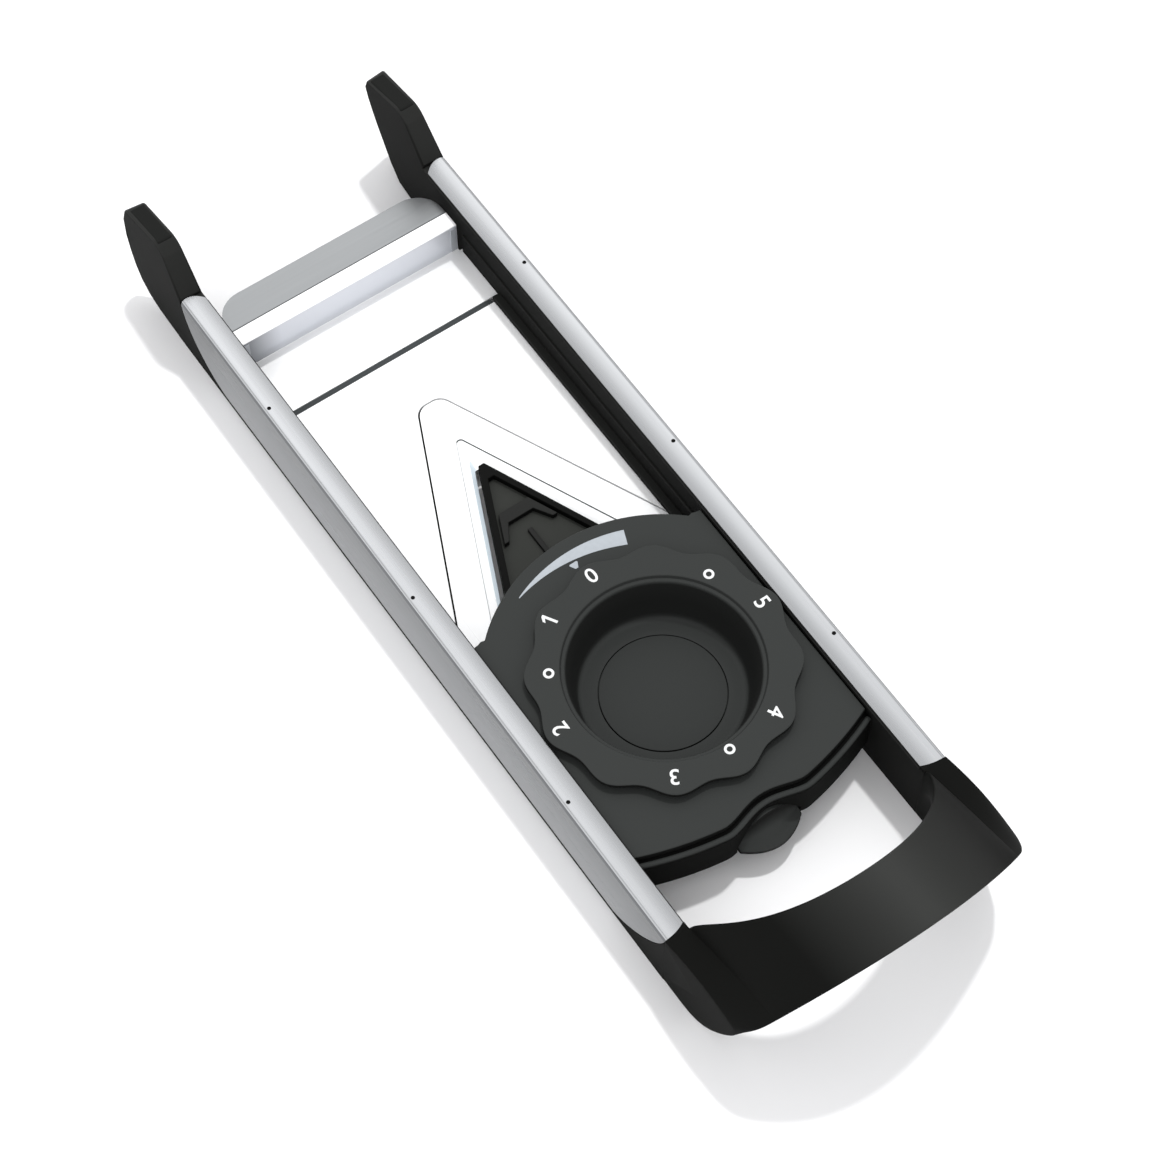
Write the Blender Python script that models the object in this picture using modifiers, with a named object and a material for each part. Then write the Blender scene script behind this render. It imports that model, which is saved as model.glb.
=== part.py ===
"""A V-blade mandoline slicer, lying food side down.

The frame: +X across the slicer, +Y from the handle to the two feet, +Z up. The origin is under
the middle of the slicer, on the surface that it lies on. In use the slicer is turned over.
Sizes below are in millimetres, and MM turns them into Blender's metres.
"""

import math

import bmesh
import bpy
from mathutils import Matrix, Vector

MM = 0.001
GAP = 0.3                     # left between two pieces that touch

# Driving dimensions of the whole slicer
HALF_WIDTH = 56.5             # outer face of a side frame
INNER_WALL = 47.4             # inner face of a side frame
RAIL_TOP = 32.7               # upper edge of the side frames
HALF_LENGTH = 196.6           # handle rim and foot tips, either side of the origin
COVER_NEAR, COVER_FAR = -140.8, 157.0
COVER_LOW = 1.9               # lower edge of a rail cover
COVER_SKIN = 1.2

SWELL, SHOULDER = 1.0, 2.5    # the hoop swells above a straight slope, and its shoulders do so further

# Plates and blade
PLATE_LOW, PLATE_HIGH = 8.1, 9.5
SLOT_X = 49.4                 # depth that the frames' slots reach
PLATE_EDGE_X = 43.3
GAP_LINE_Y = 107.3            # joint between the end plate and the blade plate
WALL_Y, WALL_TOP = 133.4, 24.3
BAND_END_Y, LIP_END_Y, LIP_END_Z = 140.2, 154.8, 22.8
END_PLATE_X = 46.1
OUTER_V = (83.1, 4.8, 0.4557)     # tip Y, half width there, widening per mm
INNER_V = (65.1, 0.0, 0.4475)
EDGE_V = (50.3, 2.0, 0.4500)
ARM_END_Y = -45.0

# Dial and its housing
DIAL_Y = -61.7
DIAL_TOP = 33.1
LOBES, LOBE_R, LOBE_DEPTH = 12, 45.4, 1.4
RECESS_R, RECESS_LOW_R, RECESS_FLOOR = 34.6, 29.3, 14.0
CAP_R = 21.9
LID_LOW, LID_HIGH, LID_HOLE_R = 25.5, 28.9, 37.6
LID_FAR_R = 61.3
LID_SIDE_X = 46.9
LID_NEAR_Y, LID_NEAR_R = -120.1, 118.0
NOTCH_HALF, NOTCH_DEPTH = 16.5, 4.3
RIM_OUT = 3.4                 # the base stands this far proud of the lid on the handle side
BASE_LOW = 9.8

# Ramp, cam and hinge
RAMP_LOW, RAMP_HIGH = 7.6, 8.8
RAMP_X, RAMP_NEAR_Y = 46.4, -112.0
HINGE_Y, HINGE_Z, HINGE_R = -107.5, 11.6, 2.0
FULL_TILT = math.radians(2.3)
DIAL_TRAVEL = math.radians(300)
FOLLOWER_R = 36.5
CAM_LOW, CAM_TOP, CAM_IN, CAM_OUT = 14.0, 23.3, 33.0, 40.0

# Release button
BUTTON_HALF, BUTTON_OUT = 13.3, 6.2
BUTTON_Y = -122.0

BLACK = ((0.020, 0.021, 0.020), 0.42, 0.0)
CHARCOAL = ((0.055, 0.058, 0.057), 0.45, 0.0)
SATIN_METAL = ((0.62, 0.64, 0.66), 0.32, 1.0)
STEEL = ((0.78, 0.79, 0.80), 0.16, 1.0)
RUBBER = ((0.030, 0.031, 0.030), 0.75, 0.0)


# --- helpers -------------------------------------------------------------------------------

def clear_scene():
    for old in list(bpy.data.objects):
        bpy.data.objects.remove(old, do_unlink=True)


def collection(name):
    made = bpy.data.collections.new(name)
    bpy.context.scene.collection.children.link(made)
    return made


def material(name, look):
    colour, roughness, metallic = look
    made = bpy.data.materials.new(name)
    made.use_nodes = True
    shader = made.node_tree.nodes["Principled BSDF"]
    shader.inputs["Base Color"].default_value = (*colour, 1.0)
    shader.inputs["Roughness"].default_value = roughness
    shader.inputs["Metallic"].default_value = metallic
    return made


def add(name, mesh, look=None):
    """Puts a mesh in the parts collection, or in the cutters' when it has no look."""
    made = bpy.data.objects.new(name, mesh)
    if look:
        PARTS.objects.link(made)
        mesh.materials.clear()
        mesh.materials.append(material(name, look))
    else:
        CUTTERS.objects.link(made)
        made.hide_render = True
        made.display_type = "WIRE"
    return made


def mesh_from(maker):
    """A mesh from a function that fills a bmesh."""
    made = bpy.data.meshes.new("solid")
    bm = bmesh.new()
    maker(bm)
    bmesh.ops.recalc_face_normals(bm, faces=bm.faces)
    bm.to_mesh(made)
    bm.free()
    return made


def block(name, low, high, look=None):
    """A box between two corners, in millimetres."""
    size = [high[i] - low[i] for i in range(3)]
    middle = [(high[i] + low[i]) / 2 for i in range(3)]
    place = Matrix.Translation(Vector(middle) * MM) @ Matrix.Diagonal((*[s * MM for s in size], 1))
    return add(name, mesh_from(lambda bm: bmesh.ops.create_cube(bm, size=1.0, matrix=place)), look)


def rod(name, start, end, radius, look=None, sides=24, end_radius=None):
    """A round bar, or a cone, from one point to another, in millimetres."""
    a, b = Vector(start) * MM, Vector(end) * MM
    turn = (b - a).to_track_quat("Z", "Y").to_matrix().to_4x4()
    place = Matrix.Translation((a + b) / 2) @ turn
    far = radius if end_radius is None else end_radius

    def fill(bm):
        bmesh.ops.create_cone(bm, cap_ends=True, segments=sides, radius1=radius * MM,
                              radius2=far * MM, depth=(b - a).length, matrix=place)
    return add(name, mesh_from(fill), look)


def evaluated_mesh(obj):
    graph = bpy.context.evaluated_depsgraph_get()
    graph.update()
    return bpy.data.meshes.new_from_object(obj.evaluated_get(graph))


def slab(name, outline, low, high, look=None, upright=False):
    """A flat outline with a thickness: lying down (X, Y outline), or upright (Y, Z outline)."""
    curve = bpy.data.curves.new("outline", "CURVE")
    curve.dimensions = "2D"
    curve.fill_mode = "BOTH"
    curve.extrude = (high - low) / 2 * MM
    spline = curve.splines.new("POLY")
    spline.points.add(len(outline) - 1)
    for point, (u, v) in zip(spline.points, outline):
        point.co = (u * MM, v * MM, 0.0, 1.0)
    spline.use_cyclic_u = True
    holder = bpy.data.objects.new("outline", curve)
    CUTTERS.objects.link(holder)
    mesh = evaluated_mesh(holder)
    bpy.data.objects.remove(holder, do_unlink=True)
    middle = (low + high) / 2 * MM
    if upright:
        stand = Matrix(((0, 0, 1, middle), (1, 0, 0, 0), (0, 1, 0, 0), (0, 0, 0, 1)))
    else:
        stand = Matrix.Translation((0, 0, middle))
    mesh.transform(stand)
    weld(mesh)
    return add(name, mesh, look)


def weld(mesh):
    bm = bmesh.new()
    bm.from_mesh(mesh)
    bmesh.ops.remove_doubles(bm, verts=bm.verts, dist=1e-6)
    bmesh.ops.recalc_face_normals(bm, faces=bm.faces)
    bm.to_mesh(mesh)
    bm.free()


def turned(name, profile, look=None, steps=48):
    """A turned solid about the dial's axis, from (radius, height) points down its outer side."""
    mesh = bpy.data.meshes.new("profile")
    points = [(r * MM, 0.0, z * MM) for r, z in profile]
    count = len(points)
    closed = profile[0][0] > 0 or profile[-1][0] > 0
    edges = [(i, (i + 1) % count) for i in range(count if closed else count - 1)]
    mesh.from_pydata(points, edges, [])
    holder = bpy.data.objects.new("profile", mesh)
    CUTTERS.objects.link(holder)
    screw = holder.modifiers.new("turn", "SCREW")
    screw.steps = screw.render_steps = steps
    screw.use_merge_vertices = True
    screw.merge_threshold = 1e-6
    made = evaluated_mesh(holder)
    bpy.data.objects.remove(holder, do_unlink=True)
    made.transform(Matrix.Translation((0, DIAL_Y * MM, 0)))
    weld(made)
    return add(name, made, look)


def loft(name, sections, look=None):
    """A closed solid through rings of points that all have the same count, in millimetres."""
    def fill(bm):
        rings = [[bm.verts.new(Vector(p) * MM) for p in ring] for ring in sections]
        count = len(rings[0])
        for one, two in zip(rings, rings[1:]):
            for i in range(count):
                j = (i + 1) % count
                bm.faces.new((one[i], one[j], two[j], two[i]))
        bm.faces.new(rings[0][::-1])
        bm.faces.new(rings[-1])
    return add(name, mesh_from(fill), look)


def boolean(target, other, operation="DIFFERENCE"):
    step = target.modifiers.new(operation.lower(), "BOOLEAN")
    step.operation = operation
    step.solver = "EXACT"
    step.object = other


def join(target, other):
    boolean(target, other, "UNION")


def span(first, last, count):
    return [first + (last - first) * i / (count - 1) for i in range(count)]


def arc(centre_x, centre_y, radius, start, end, count):
    """Points on an arc, with its angles in degrees."""
    return [(centre_x + radius * math.cos(math.radians(a)), centre_y + radius * math.sin(math.radians(a)))
            for a in span(start, end, count)]


def ordered(side, near, far):
    """The two X limits of a piece on one side, lower one first."""
    return sorted((side * near, side * far))


# --- side frames, covers and handle ---------------------------------------------------------

def superellipse_end(start, reach, height_low, height_high, power, count):
    """A rounded end of a side face, from its lower edge out to its top corner."""
    drop = height_high - height_low
    points = []
    for t in span(0.0, math.pi / 2, count):
        out = math.sin(t) ** (2 / power)
        down = math.cos(t) ** (2 / power)
        points.append((start + reach * out, height_high - drop * down))
    return points


def cover_outline(grow=0.0):
    """Side face of a rail cover, as (Y, Z) points."""
    low = COVER_LOW - grow
    far = superellipse_end(129.2, COVER_FAR + grow - 129.2, low, RAIL_TOP, 1.9, 9)
    near = superellipse_end(-112.7, COVER_NEAR - grow + 112.7, low, RAIL_TOP, 1.4, 9)
    return [(y, z + (grow if z >= RAIL_TOP - 0.01 else 0)) for y, z in far + near[::-1]]


def foot_outline():
    """Outer face of the foot, as (Y, Z) points from the frame's underside round to the rail."""
    belly = [(170.8, 0.0), (179.3, 0.7), (186.0, 2.7), (190.8, 7.0), (193.7, 13.6),
             (195.2, 21.2), (196.0, 29.6), (HALF_LENGTH, 38.1), (194.6, 45.1)]
    return belly + [(169.2, 50.6), (COVER_FAR + 0.2, RAIL_TOP)]


FOOT_INSET = {179.3: (-4.0, 1.5), 186.0: (-5.5, 7.0), 190.8: (-5.5, 10.0), 193.7: (-4.5, 9.0),
              195.2: (-3.0, 7.0), 196.0: (-1.5, 4.0)}


def taper_foot(mesh):
    """Draws the foot's lower edge in on the inner face, so that it is rounded under."""
    for vertex in mesh.vertices:
        if abs(vertex.co.x) > (INNER_WALL + 1.0) * MM:
            continue
        for y, (dy, dz) in FOOT_INSET.items():
            if abs(vertex.co.y - y * MM) < 1e-5 and vertex.co.z < 35 * MM:
                vertex.co += Vector((0, dy * MM, dz * MM))


def side_frame(name, side):
    outline = [(COVER_NEAR, RAIL_TOP), (COVER_NEAR, 0.0)] + foot_outline()
    frame = slab(name, outline, *ordered(side, INNER_WALL, HALF_WIDTH), BLACK, upright=True)
    taper_foot(frame.data)
    seat = slab(name + "_cover_seat", cover_outline(GAP),
                *ordered(side, HALF_WIDTH - COVER_SKIN - GAP, HALF_WIDTH + 2), upright=True)
    x_low, x_high = ordered(side, INNER_WALL - 1, HALF_WIDTH + 2)
    top_seat = block(name + "_top_seat", (x_low, COVER_NEAR - 1, RAIL_TOP - COVER_SKIN - GAP),
                     (x_high, COVER_FAR + GAP, RAIL_TOP + 2))
    boolean(frame, seat)
    boolean(frame, top_seat)
    x_low, x_high = ordered(side, END_PLATE_X + 0.4, INNER_WALL + 1)
    join(frame, block(name + "_ledge", (x_low, -16.0, 5.5), (x_high, 131.0, 20.0)))
    x_low, x_high = ordered(side, PLATE_EDGE_X + 0.2, INNER_WALL + 1)
    join(frame, block(name + "_plate_ledge", (x_low, -16.0, PLATE_HIGH + 0.1),
                      (x_high, GAP_LINE_Y + 0.4, 12.5)))
    x_low, x_high = ordered(side, PLATE_EDGE_X - 2, SLOT_X + GAP)
    slot = block(name + "_slot", (x_low, ARM_END_Y - 1, PLATE_LOW - GAP),
                 (x_high, WALL_Y + GAP, PLATE_HIGH + GAP))
    boolean(frame, slot)
    hinge = rod(name + "_hinge_hole", (side * 40, HINGE_Y, HINGE_Z), (side * 52, HINGE_Y, HINGE_Z),
                HINGE_R + GAP)
    boolean(frame, hinge)
    for number, y in enumerate(SCREW_YS):
        shank = rod(f"{name}_screw_hole_{number}", (side * 40, y, SCREW_Z), (side * 60, y, SCREW_Z), 1.8)
        head = rod(f"{name}_head_hole_{number}", (side * 52.8, y, SCREW_Z), (side * 60, y, SCREW_Z), 3.3)
        boolean(frame, shank)
        boolean(frame, head)
    for number, y in enumerate(PIN_YS):
        hole = rod(f"{name}_pin_hole_{number}", (side * PIN_X, y, 27), (side * PIN_X, y, 40), 0.9, sides=12)
        boolean(frame, hole)
    pad = foot_pad(f"{name}_pad_seat", side, GAP, None)
    boolean(frame, pad)


def foot_pad(name, side, grow, look):
    """The grip pad on the foot's upper facet, or the seat for it where grow is more than nothing."""
    bend, tip = Vector((169.2, 50.6)), Vector((194.6, 45.1))
    along = (tip - bend).normalized()
    down = Vector((along.y, -along.x))
    start, end = bend + along * (1.5 - grow), tip - along * (2.0 - grow)
    deep = down * (1.6 + grow)
    proud = down * (-2.0 if grow else 0.0)
    outline = [start + proud, end + proud, end + deep, start + deep]
    x_low, x_high = ordered(side, INNER_WALL + 1.3 - grow, HALF_WIDTH - 1.3 + grow)
    return slab(name, [(p.x, p.y) for p in outline], x_low, x_high, look, upright=True)


def rail_cover(name, side):
    cover = slab(name, cover_outline(), *ordered(side, INNER_WALL + 0.2, HALF_WIDTH), SATIN_METAL, upright=True)
    x_low, x_high = ordered(side, INNER_WALL - 2, HALF_WIDTH - COVER_SKIN)
    hollow = block(name + "_hollow", (x_low, COVER_NEAR - 5, COVER_LOW - 5),
                   (x_high, COVER_FAR + 5, RAIL_TOP - COVER_SKIN))
    boolean(cover, hollow)
    for number, y in enumerate(PIN_YS):
        hole = rod(f"{name}_pin_hole_{number}", (side * PIN_X, y, 27), (side * PIN_X, y, 40), 0.9, sides=12)
        boolean(cover, hole)


PIN_X = 54.0
PIN_YS = (100.3, 8.3, -83.8)
SCREW_YS = (-30.0, -98.0)
SCREW_Z = 22.8


def cover_pins(side, side_name):
    for number, y in enumerate(PIN_YS, 1):
        rod(f"{side_name}_cover_pin_{number}", (side * PIN_X, y, 27.5), (side * PIN_X, y, RAIL_TOP),
            0.6, BLACK, sides=12)


def handle_top(x, across):
    """Point of the handle's upper face: x along the hoop, across from its inner rim (0) to its outer (1)."""
    reach = min(abs(x) / INNER_WALL, 1.0)
    bow = 15.0 * reach ** 2 + 8.4 * reach ** 4 + 4.0 * reach ** 8
    inner = Vector((x, COVER_NEAR - GAP - 27.4 + bow, RAIL_TOP + 37.8 * (1 - reach * reach) ** 0.64))
    outer = Vector((x, -HALF_LENGTH + 0.00454 * x * x, 37.0 + 40.0 * (1 - (x / HALF_WIDTH) ** 2)))
    corner = max(0.0, abs(x) - 50.0) / (HALF_WIDTH - 50.0)
    outer += Vector((0, 4.5, -2.0)) * corner ** 2.5
    shoulder = max(0.0, abs(x) - INNER_WALL) / (HALF_WIDTH - INNER_WALL)
    swell = SWELL + SHOULDER * shoulder
    return inner.lerp(outer, across) + Vector((0, 0, swell * math.sin(math.pi * across)))


def leg_floor(y):
    """Height of the handle legs' lower edge: flat, then sweeping up to the outer rim."""
    return 36.4 * (max(0.0, -155.9 - y) / 24.8) ** 1.7


def band_drop(x):
    """Vertical thickness of the hoop, which grows where its arch is steep."""
    reach = min(abs(x) / INNER_WALL, 0.9985)
    slope = 37.8 * 0.64 * (1 - reach * reach) ** -0.36 * 2 * reach / INNER_WALL
    return 6.5 * math.hypot(1.0, slope)


def handle_section(x):
    top = [handle_top(x, a) for a in span(0.0, 1.0, 6)]
    under = []
    for point in reversed(top):
        low = 0.0 if abs(x) > INNER_WALL else point.z - band_drop(x)
        under.append(Vector((x, point.y, min(max(low, leg_floor(point.y)), point.z - 1.5))))
    return top + under


def handle():
    inner = span(0.0, INNER_WALL, 15)[1:]
    half = inner[:-1] + [46.3, 47.0, INNER_WALL, INNER_WALL + 0.02, 50.0, 52.5, 54.5, 55.8, HALF_WIDTH]
    stations = [-x for x in reversed(half)] + [0.0] + half
    loft("handle", [handle_section(x) for x in stations], BLACK)


# --- plates and blade -------------------------------------------------------------------------

def v_half(shape, y):
    """Half width of a V outline at a place along the slicer."""
    tip, half, widening = shape
    return half + (tip - y) * widening


def v_reaches(shape, x):
    """Where a V outline is x wide on each side."""
    tip, half, widening = shape
    return tip - (x - half) / widening


def rounded_tip(shape, radius_x, rise, count=7):
    """Right half of a V's blunt tip, from the middle outwards."""
    tip, half, _ = shape
    return [((half + radius_x) * math.sin(t), tip - rise * (1 - math.cos(t))) for t in
            span(0.0, math.pi / 2, count)]


def mirrored(right_half):
    """A whole outline from its right half, listed from the far middle down to the near end."""
    return right_half + [(-x, y) for x, y in reversed(right_half) if abs(x) > 1e-6]


def blade_plate():
    """The plate behind the blade, with its V notch."""
    tip = rounded_tip((OUTER_V[0] + GAP, OUTER_V[1], 0), 0.6, 1.4)
    notch = tip + [(SLOT_X - 0.4, v_reaches(OUTER_V, SLOT_X - 0.4) + GAP)]
    outline = notch[::-1] + [(-x, y) for x, y in notch[1:]]
    outline += [(-SLOT_X + 0.4, GAP_LINE_Y - 1.2), (SLOT_X - 0.4, GAP_LINE_Y - 1.2)]
    slab("blade_plate", outline, PLATE_LOW, PLATE_HIGH, STEEL)


def v_blade():
    """The V-shaped blade strip, ground down to a thin edge along its inner side."""
    outer = rounded_tip((OUTER_V[0] - GAP, OUTER_V[1] - 0.3, 0), 0.6, 1.4)
    outer += [(SLOT_X - 0.4, v_reaches(OUTER_V, SLOT_X - 0.4) - GAP), (SLOT_X - 0.4, ARM_END_Y)]
    bevel = [(0.0, INNER_V[0]), (3.0, v_reaches(INNER_V, 3.0))]
    bevel += [(v_half(INNER_V, y), y) for y in (30.0, 0.0, ARM_END_Y)]
    edge = [(0.0, EDGE_V[0] + 1.0), (2.6, v_reaches(EDGE_V, 2.6))]
    edge += [(v_half(EDGE_V, y), y) for y in (25.0, -5.0, ARM_END_Y)]
    body = slab("v_blade", mirrored(outer), PLATE_LOW, PLATE_HIGH, STEEL)
    boolean(body, slab("v_blade_throat", throat_outline(edge), 0, 20))
    grind_sections = [[(x, y, PLATE_HIGH), (x, y, PLATE_HIGH + 3), (ex, ey, PLATE_HIGH + 3),
                       (ex, ey, PLATE_LOW + 0.4)] for (x, y), (ex, ey) in past_edge(bevel, edge)]
    boolean(body, loft("v_blade_grind", grind_sections))


def throat_outline(edge):
    """The opening inside the blade's edge, from its tip to beyond the ends of the arms."""
    last_x, last_y = edge[-1]
    wide = edge + [(last_x + 9, last_y - 20)]
    return wide + [(-x, y) for x, y in reversed(wide) if x > 0]


def past_edge(bevel, edge):
    """Pairs of bevel and edge points round the whole V, with the edge pushed a little into the throat."""
    right = []
    for (x, y), (ex, ey) in zip(bevel, edge):
        out = Vector((ex - x, ey - y)) * 0.12
        right.append(((x, y), (ex + out.x, ey + out.y)))
    tail = tuple((x + 9 * 0.45, y - 9) for x, y in right[-1])
    right.append(tail)
    left = [tuple((-x, y) for x, y in pair) for pair in reversed(right[1:])]
    return left + right


def end_plate():
    t = PLATE_HIGH - PLATE_LOW
    upper = [(GAP_LINE_Y + 0.5, PLATE_HIGH), (WALL_Y - 0.6, PLATE_HIGH), (WALL_Y, PLATE_HIGH + 0.6),
             (WALL_Y, WALL_TOP - 0.6), (WALL_Y + 0.6, WALL_TOP), (BAND_END_Y, WALL_TOP),
             (LIP_END_Y, LIP_END_Z)]
    lower = [(LIP_END_Y - 0.1, LIP_END_Z - t), (BAND_END_Y - 0.1, WALL_TOP - t),
             (WALL_Y + t + 0.3, WALL_TOP - t), (WALL_Y + t, WALL_TOP - t - 0.3),
             (WALL_Y + t, PLATE_LOW + 0.6), (WALL_Y + t - 0.6, PLATE_LOW), (GAP_LINE_Y + 0.5, PLATE_LOW)]
    plate = slab("end_plate", upper + lower, -END_PLATE_X, END_PLATE_X, STEEL, upright=True)
    wing = block("end_plate_wings", (-SLOT_X + 0.4, GAP_LINE_Y + 0.5, PLATE_LOW),
                 (SLOT_X - 0.4, WALL_Y - 1.5, PLATE_HIGH))
    join(plate, wing)
    for side in (1, -1):
        corner = [(side * 60, BAND_END_Y + 1.5)]
        corner += [(side * x, y) for x, y in arc(END_PLATE_X - 11, LIP_END_Y - 11, 11, 0, 90, 8)]
        corner += [(side * (END_PLATE_X - 11), 180), (side * 60, 180)]
        boolean(plate, slab(f"lip_corner_{side}", corner, 0, 40))


def blade_clamps():
    """The blocks that hold the ends of the blade's arms down, with a screw in each."""
    for side, side_name in ((-1, "left"), (1, "right")):
        outline = [(side * x, y) for x, y in ((46.9, -18.0), (46.9, -35.0), (42.0, -35.0), (37.0, -18.0))]
        clamp = slab(f"{side_name}_blade_clamp", outline, PLATE_HIGH + GAP, 14.0, CHARCOAL)
        boolean(clamp, rod(f"{side_name}_clamp_hole", (side * 43, -25, 8), (side * 43, -25, 18), 1.8, sides=16))
        screw = rod(f"{side_name}_blade_screw", (side * 43, -25, 10.2), (side * 43, -25, 16.4), 1.4, STEEL, 16)
        join(screw, rod(f"{side_name}_blade_screw_head", (side * 43, -25, 14.3), (side * 43, -25, 16.0), 2.8,
                        sides=16))


# --- ramp ------------------------------------------------------------------------------------------

def ramp_outline(inset=0.0):
    """The food ramp: a V nose that fits inside the blade's edge, on a straight body."""
    shape = (EDGE_V[0] - 0.9 - inset, EDGE_V[1] * 0.5, EDGE_V[2])
    near = ARM_END_Y - 0.8 - inset
    right = [(shape[1], shape[0]), (v_half(shape, near + 0.8) - 0.8, near + 0.8)]
    right += [(v_half(shape, near) - 0.8, near), (RAMP_X - inset, near - 1.5), (RAMP_X - inset, RAMP_NEAR_Y + inset)]
    return right + [(-x, y) for x, y in reversed(right)]


def nose_outline(tip_y, near_y, inset):
    shape = (EDGE_V[0] - 0.9, 0.0, EDGE_V[2])
    points = [(max(v_half(shape, y) - inset, 0.6), y) for y in (tip_y, near_y)]
    return points + [(-x, y) for x, y in reversed(points)]


def ramp():
    slab("ramp_plate", ramp_outline(), RAMP_LOW, RAMP_HIGH, STEEL)
    floor, floor_high = RAMP_HIGH + GAP, RAMP_HIGH + GAP + 1.1
    carrier = slab("ramp_carrier", ramp_outline(0.3), floor, floor_high, BLACK)
    boolean(carrier, rod("carrier_dial_opening", (0, DIAL_Y, 0), (0, DIAL_Y, 30), CAM_OUT + 1.2, sides=64))
    join(carrier, carrier_rim(floor))
    rib = slab("carrier_rib", rib_outline(), floor + 0.2, 12.6)
    join(carrier, rib)
    join(carrier, block("carrier_mid_rib", (-1.0, -14.0, floor + 0.2), (0.9, 19.0, 11.6)))
    tongue = block("carrier_tongue", (-5.0, DIAL_Y + FOLLOWER_R - 3.5, floor), (5.0, DIAL_Y + 43, floor_high))
    join(carrier, tongue)
    for side in (-1, 1):
        x_low, x_high = ordered(side, 36.0, 43.5)
        join(carrier, block(f"hinge_lug_{side}", (x_low, HINGE_Y - 4.2, floor + 0.1),
                            (x_high, HINGE_Y + 4.2, HINGE_Z + 4.0)))
        x_low, x_high = ordered(side, 30, 50)
        boolean(carrier, rod(f"lug_bore_{side}", (x_low, HINGE_Y, HINGE_Z), (x_high, HINGE_Y, HINGE_Z),
                             HINGE_R + 0.15))
    for side, side_name in ((-1, "left"), (1, "right")):
        rod(f"{side_name}_hinge_pin", (side * 34.5, HINGE_Y, HINGE_Z), (side * 51.5, HINGE_Y, HINGE_Z),
            HINGE_R, STEEL)


def carrier_rim(floor):
    """The upright rim round the nose, open in the middle."""
    rim = slab("carrier_rim", nose_outline(EDGE_V[0] - 3.0, -18.0, 0.4), floor + 0.2, 13.0)
    boolean(rim, slab("carrier_rim_hollow", nose_outline(EDGE_V[0] - 8.5, -30.0, 3.0), 0, 30))
    return rim


def rib_outline():
    """A trapezoid rib inside the nose: a bar across, with a leg down each side."""
    front, back, leg_end = 28.8, 24.0, 17.5
    right = [(6.2, front), (11.2, leg_end), (9.2, leg_end), (5.2, back)]
    return right + [(-x, y) for x, y in reversed(right)]


def cam_follower():
    y = DIAL_Y + FOLLOWER_R
    follower = rod("cam_follower", (0, y, RAMP_HIGH + GAP + 1.1 + GAP), (0, y, CAM_LOW - GAP), 2.6, STEEL, 20)
    return follower


# --- housing, dial and cam -----------------------------------------------------------------------

def near_edge(out, notch_scale=1.0, count=41):
    """The housing's edge towards the handle, left to right, with the bite above the button."""
    points = []
    for x in span(-LID_SIDE_X, LID_SIDE_X, count):
        y = LID_NEAR_Y - out + x * x / (2 * LID_NEAR_R)
        bite = max(0.0, math.cos(min(abs(x) / NOTCH_HALF, 1.0) * math.pi / 2)) ** 1.5
        points.append((x, y + NOTCH_DEPTH * notch_scale * bite))
    return points


def far_edge(radius):
    """The housing's edge towards the blade, right to left: an arc that flares out to the frames."""
    points = [(LID_SIDE_X, -17.6), (44.5, -17.4), (42.0, -17.0)]
    points += arc(0, DIAL_Y, radius, 47, 133, 29)
    return points + [(-42.0, -17.0), (-44.5, -17.4), (-LID_SIDE_X, -17.6)]


def housing():
    lid = slab("dial_cover", near_edge(0.0) + far_edge(LID_FAR_R), LID_LOW, LID_HIGH, CHARCOAL)
    boolean(lid, rod("lid_hole", (0, DIAL_Y, 20), (0, DIAL_Y, 40), LID_HOLE_R, sides=64))
    outer = near_edge(RIM_OUT) + far_edge(LID_FAR_R - 1.2)
    base = slab("housing_base", outer, BASE_LOW, LID_LOW - GAP, CHARCOAL)
    inner = [(x * 0.95, y + 2.2) for x, y in near_edge(RIM_OUT)]
    inner += [(x * 0.95, y - 2.0) for x, y in far_edge(LID_FAR_R - 1.2)]
    boolean(base, slab("base_hollow", inner, 0, 40))
    boolean(base, block("base_relief", (-50, -111.8, 0), (50, 5, 20.6)))
    button_cut = [(x, y) for x, y in ((-12.8, -130), (12.8, -130), (12.8, -105), (-12.8, -105))]
    boolean(base, slab("button_opening", button_cut, 0, 23.0))
    for side in (-1, 1):
        for number, y in enumerate(SCREW_YS):
            boolean(base, rod(f"base_screw_hole_{side}_{number}", (side * 40, y, SCREW_Z),
                              (side * 50, y, SCREW_Z), 1.6, sides=16))
    leaf = block("detent_spring", (-9, DIAL_Y - 42.9, 17.5), (9, DIAL_Y - 42.3, 21.5), STEEL)
    nub = rod("detent_nub", (0, DIAL_Y - 42.0, 18.2), (0, DIAL_Y - 42.0, 20.8), 0.9, sides=12)
    join(leaf, nub)
    for side, side_name in ((-1, "left"), (1, "right")):
        for place, y in zip(("far", "near"), SCREW_YS):
            screw = rod(f"{side_name}_{place}_housing_screw", (side * 45.2, y, SCREW_Z),
                        (side * 54.4, y, SCREW_Z), 1.3, STEEL, 16)
            join(screw, rod(f"{side_name}_{place}_screw_head", (side * 53.1, y, SCREW_Z),
                            (side * 54.8, y, SCREW_Z), 2.9, sides=16))


def lobe_radius(angle):
    return LOBE_R + LOBE_DEPTH * math.cos(LOBES * angle)


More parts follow.
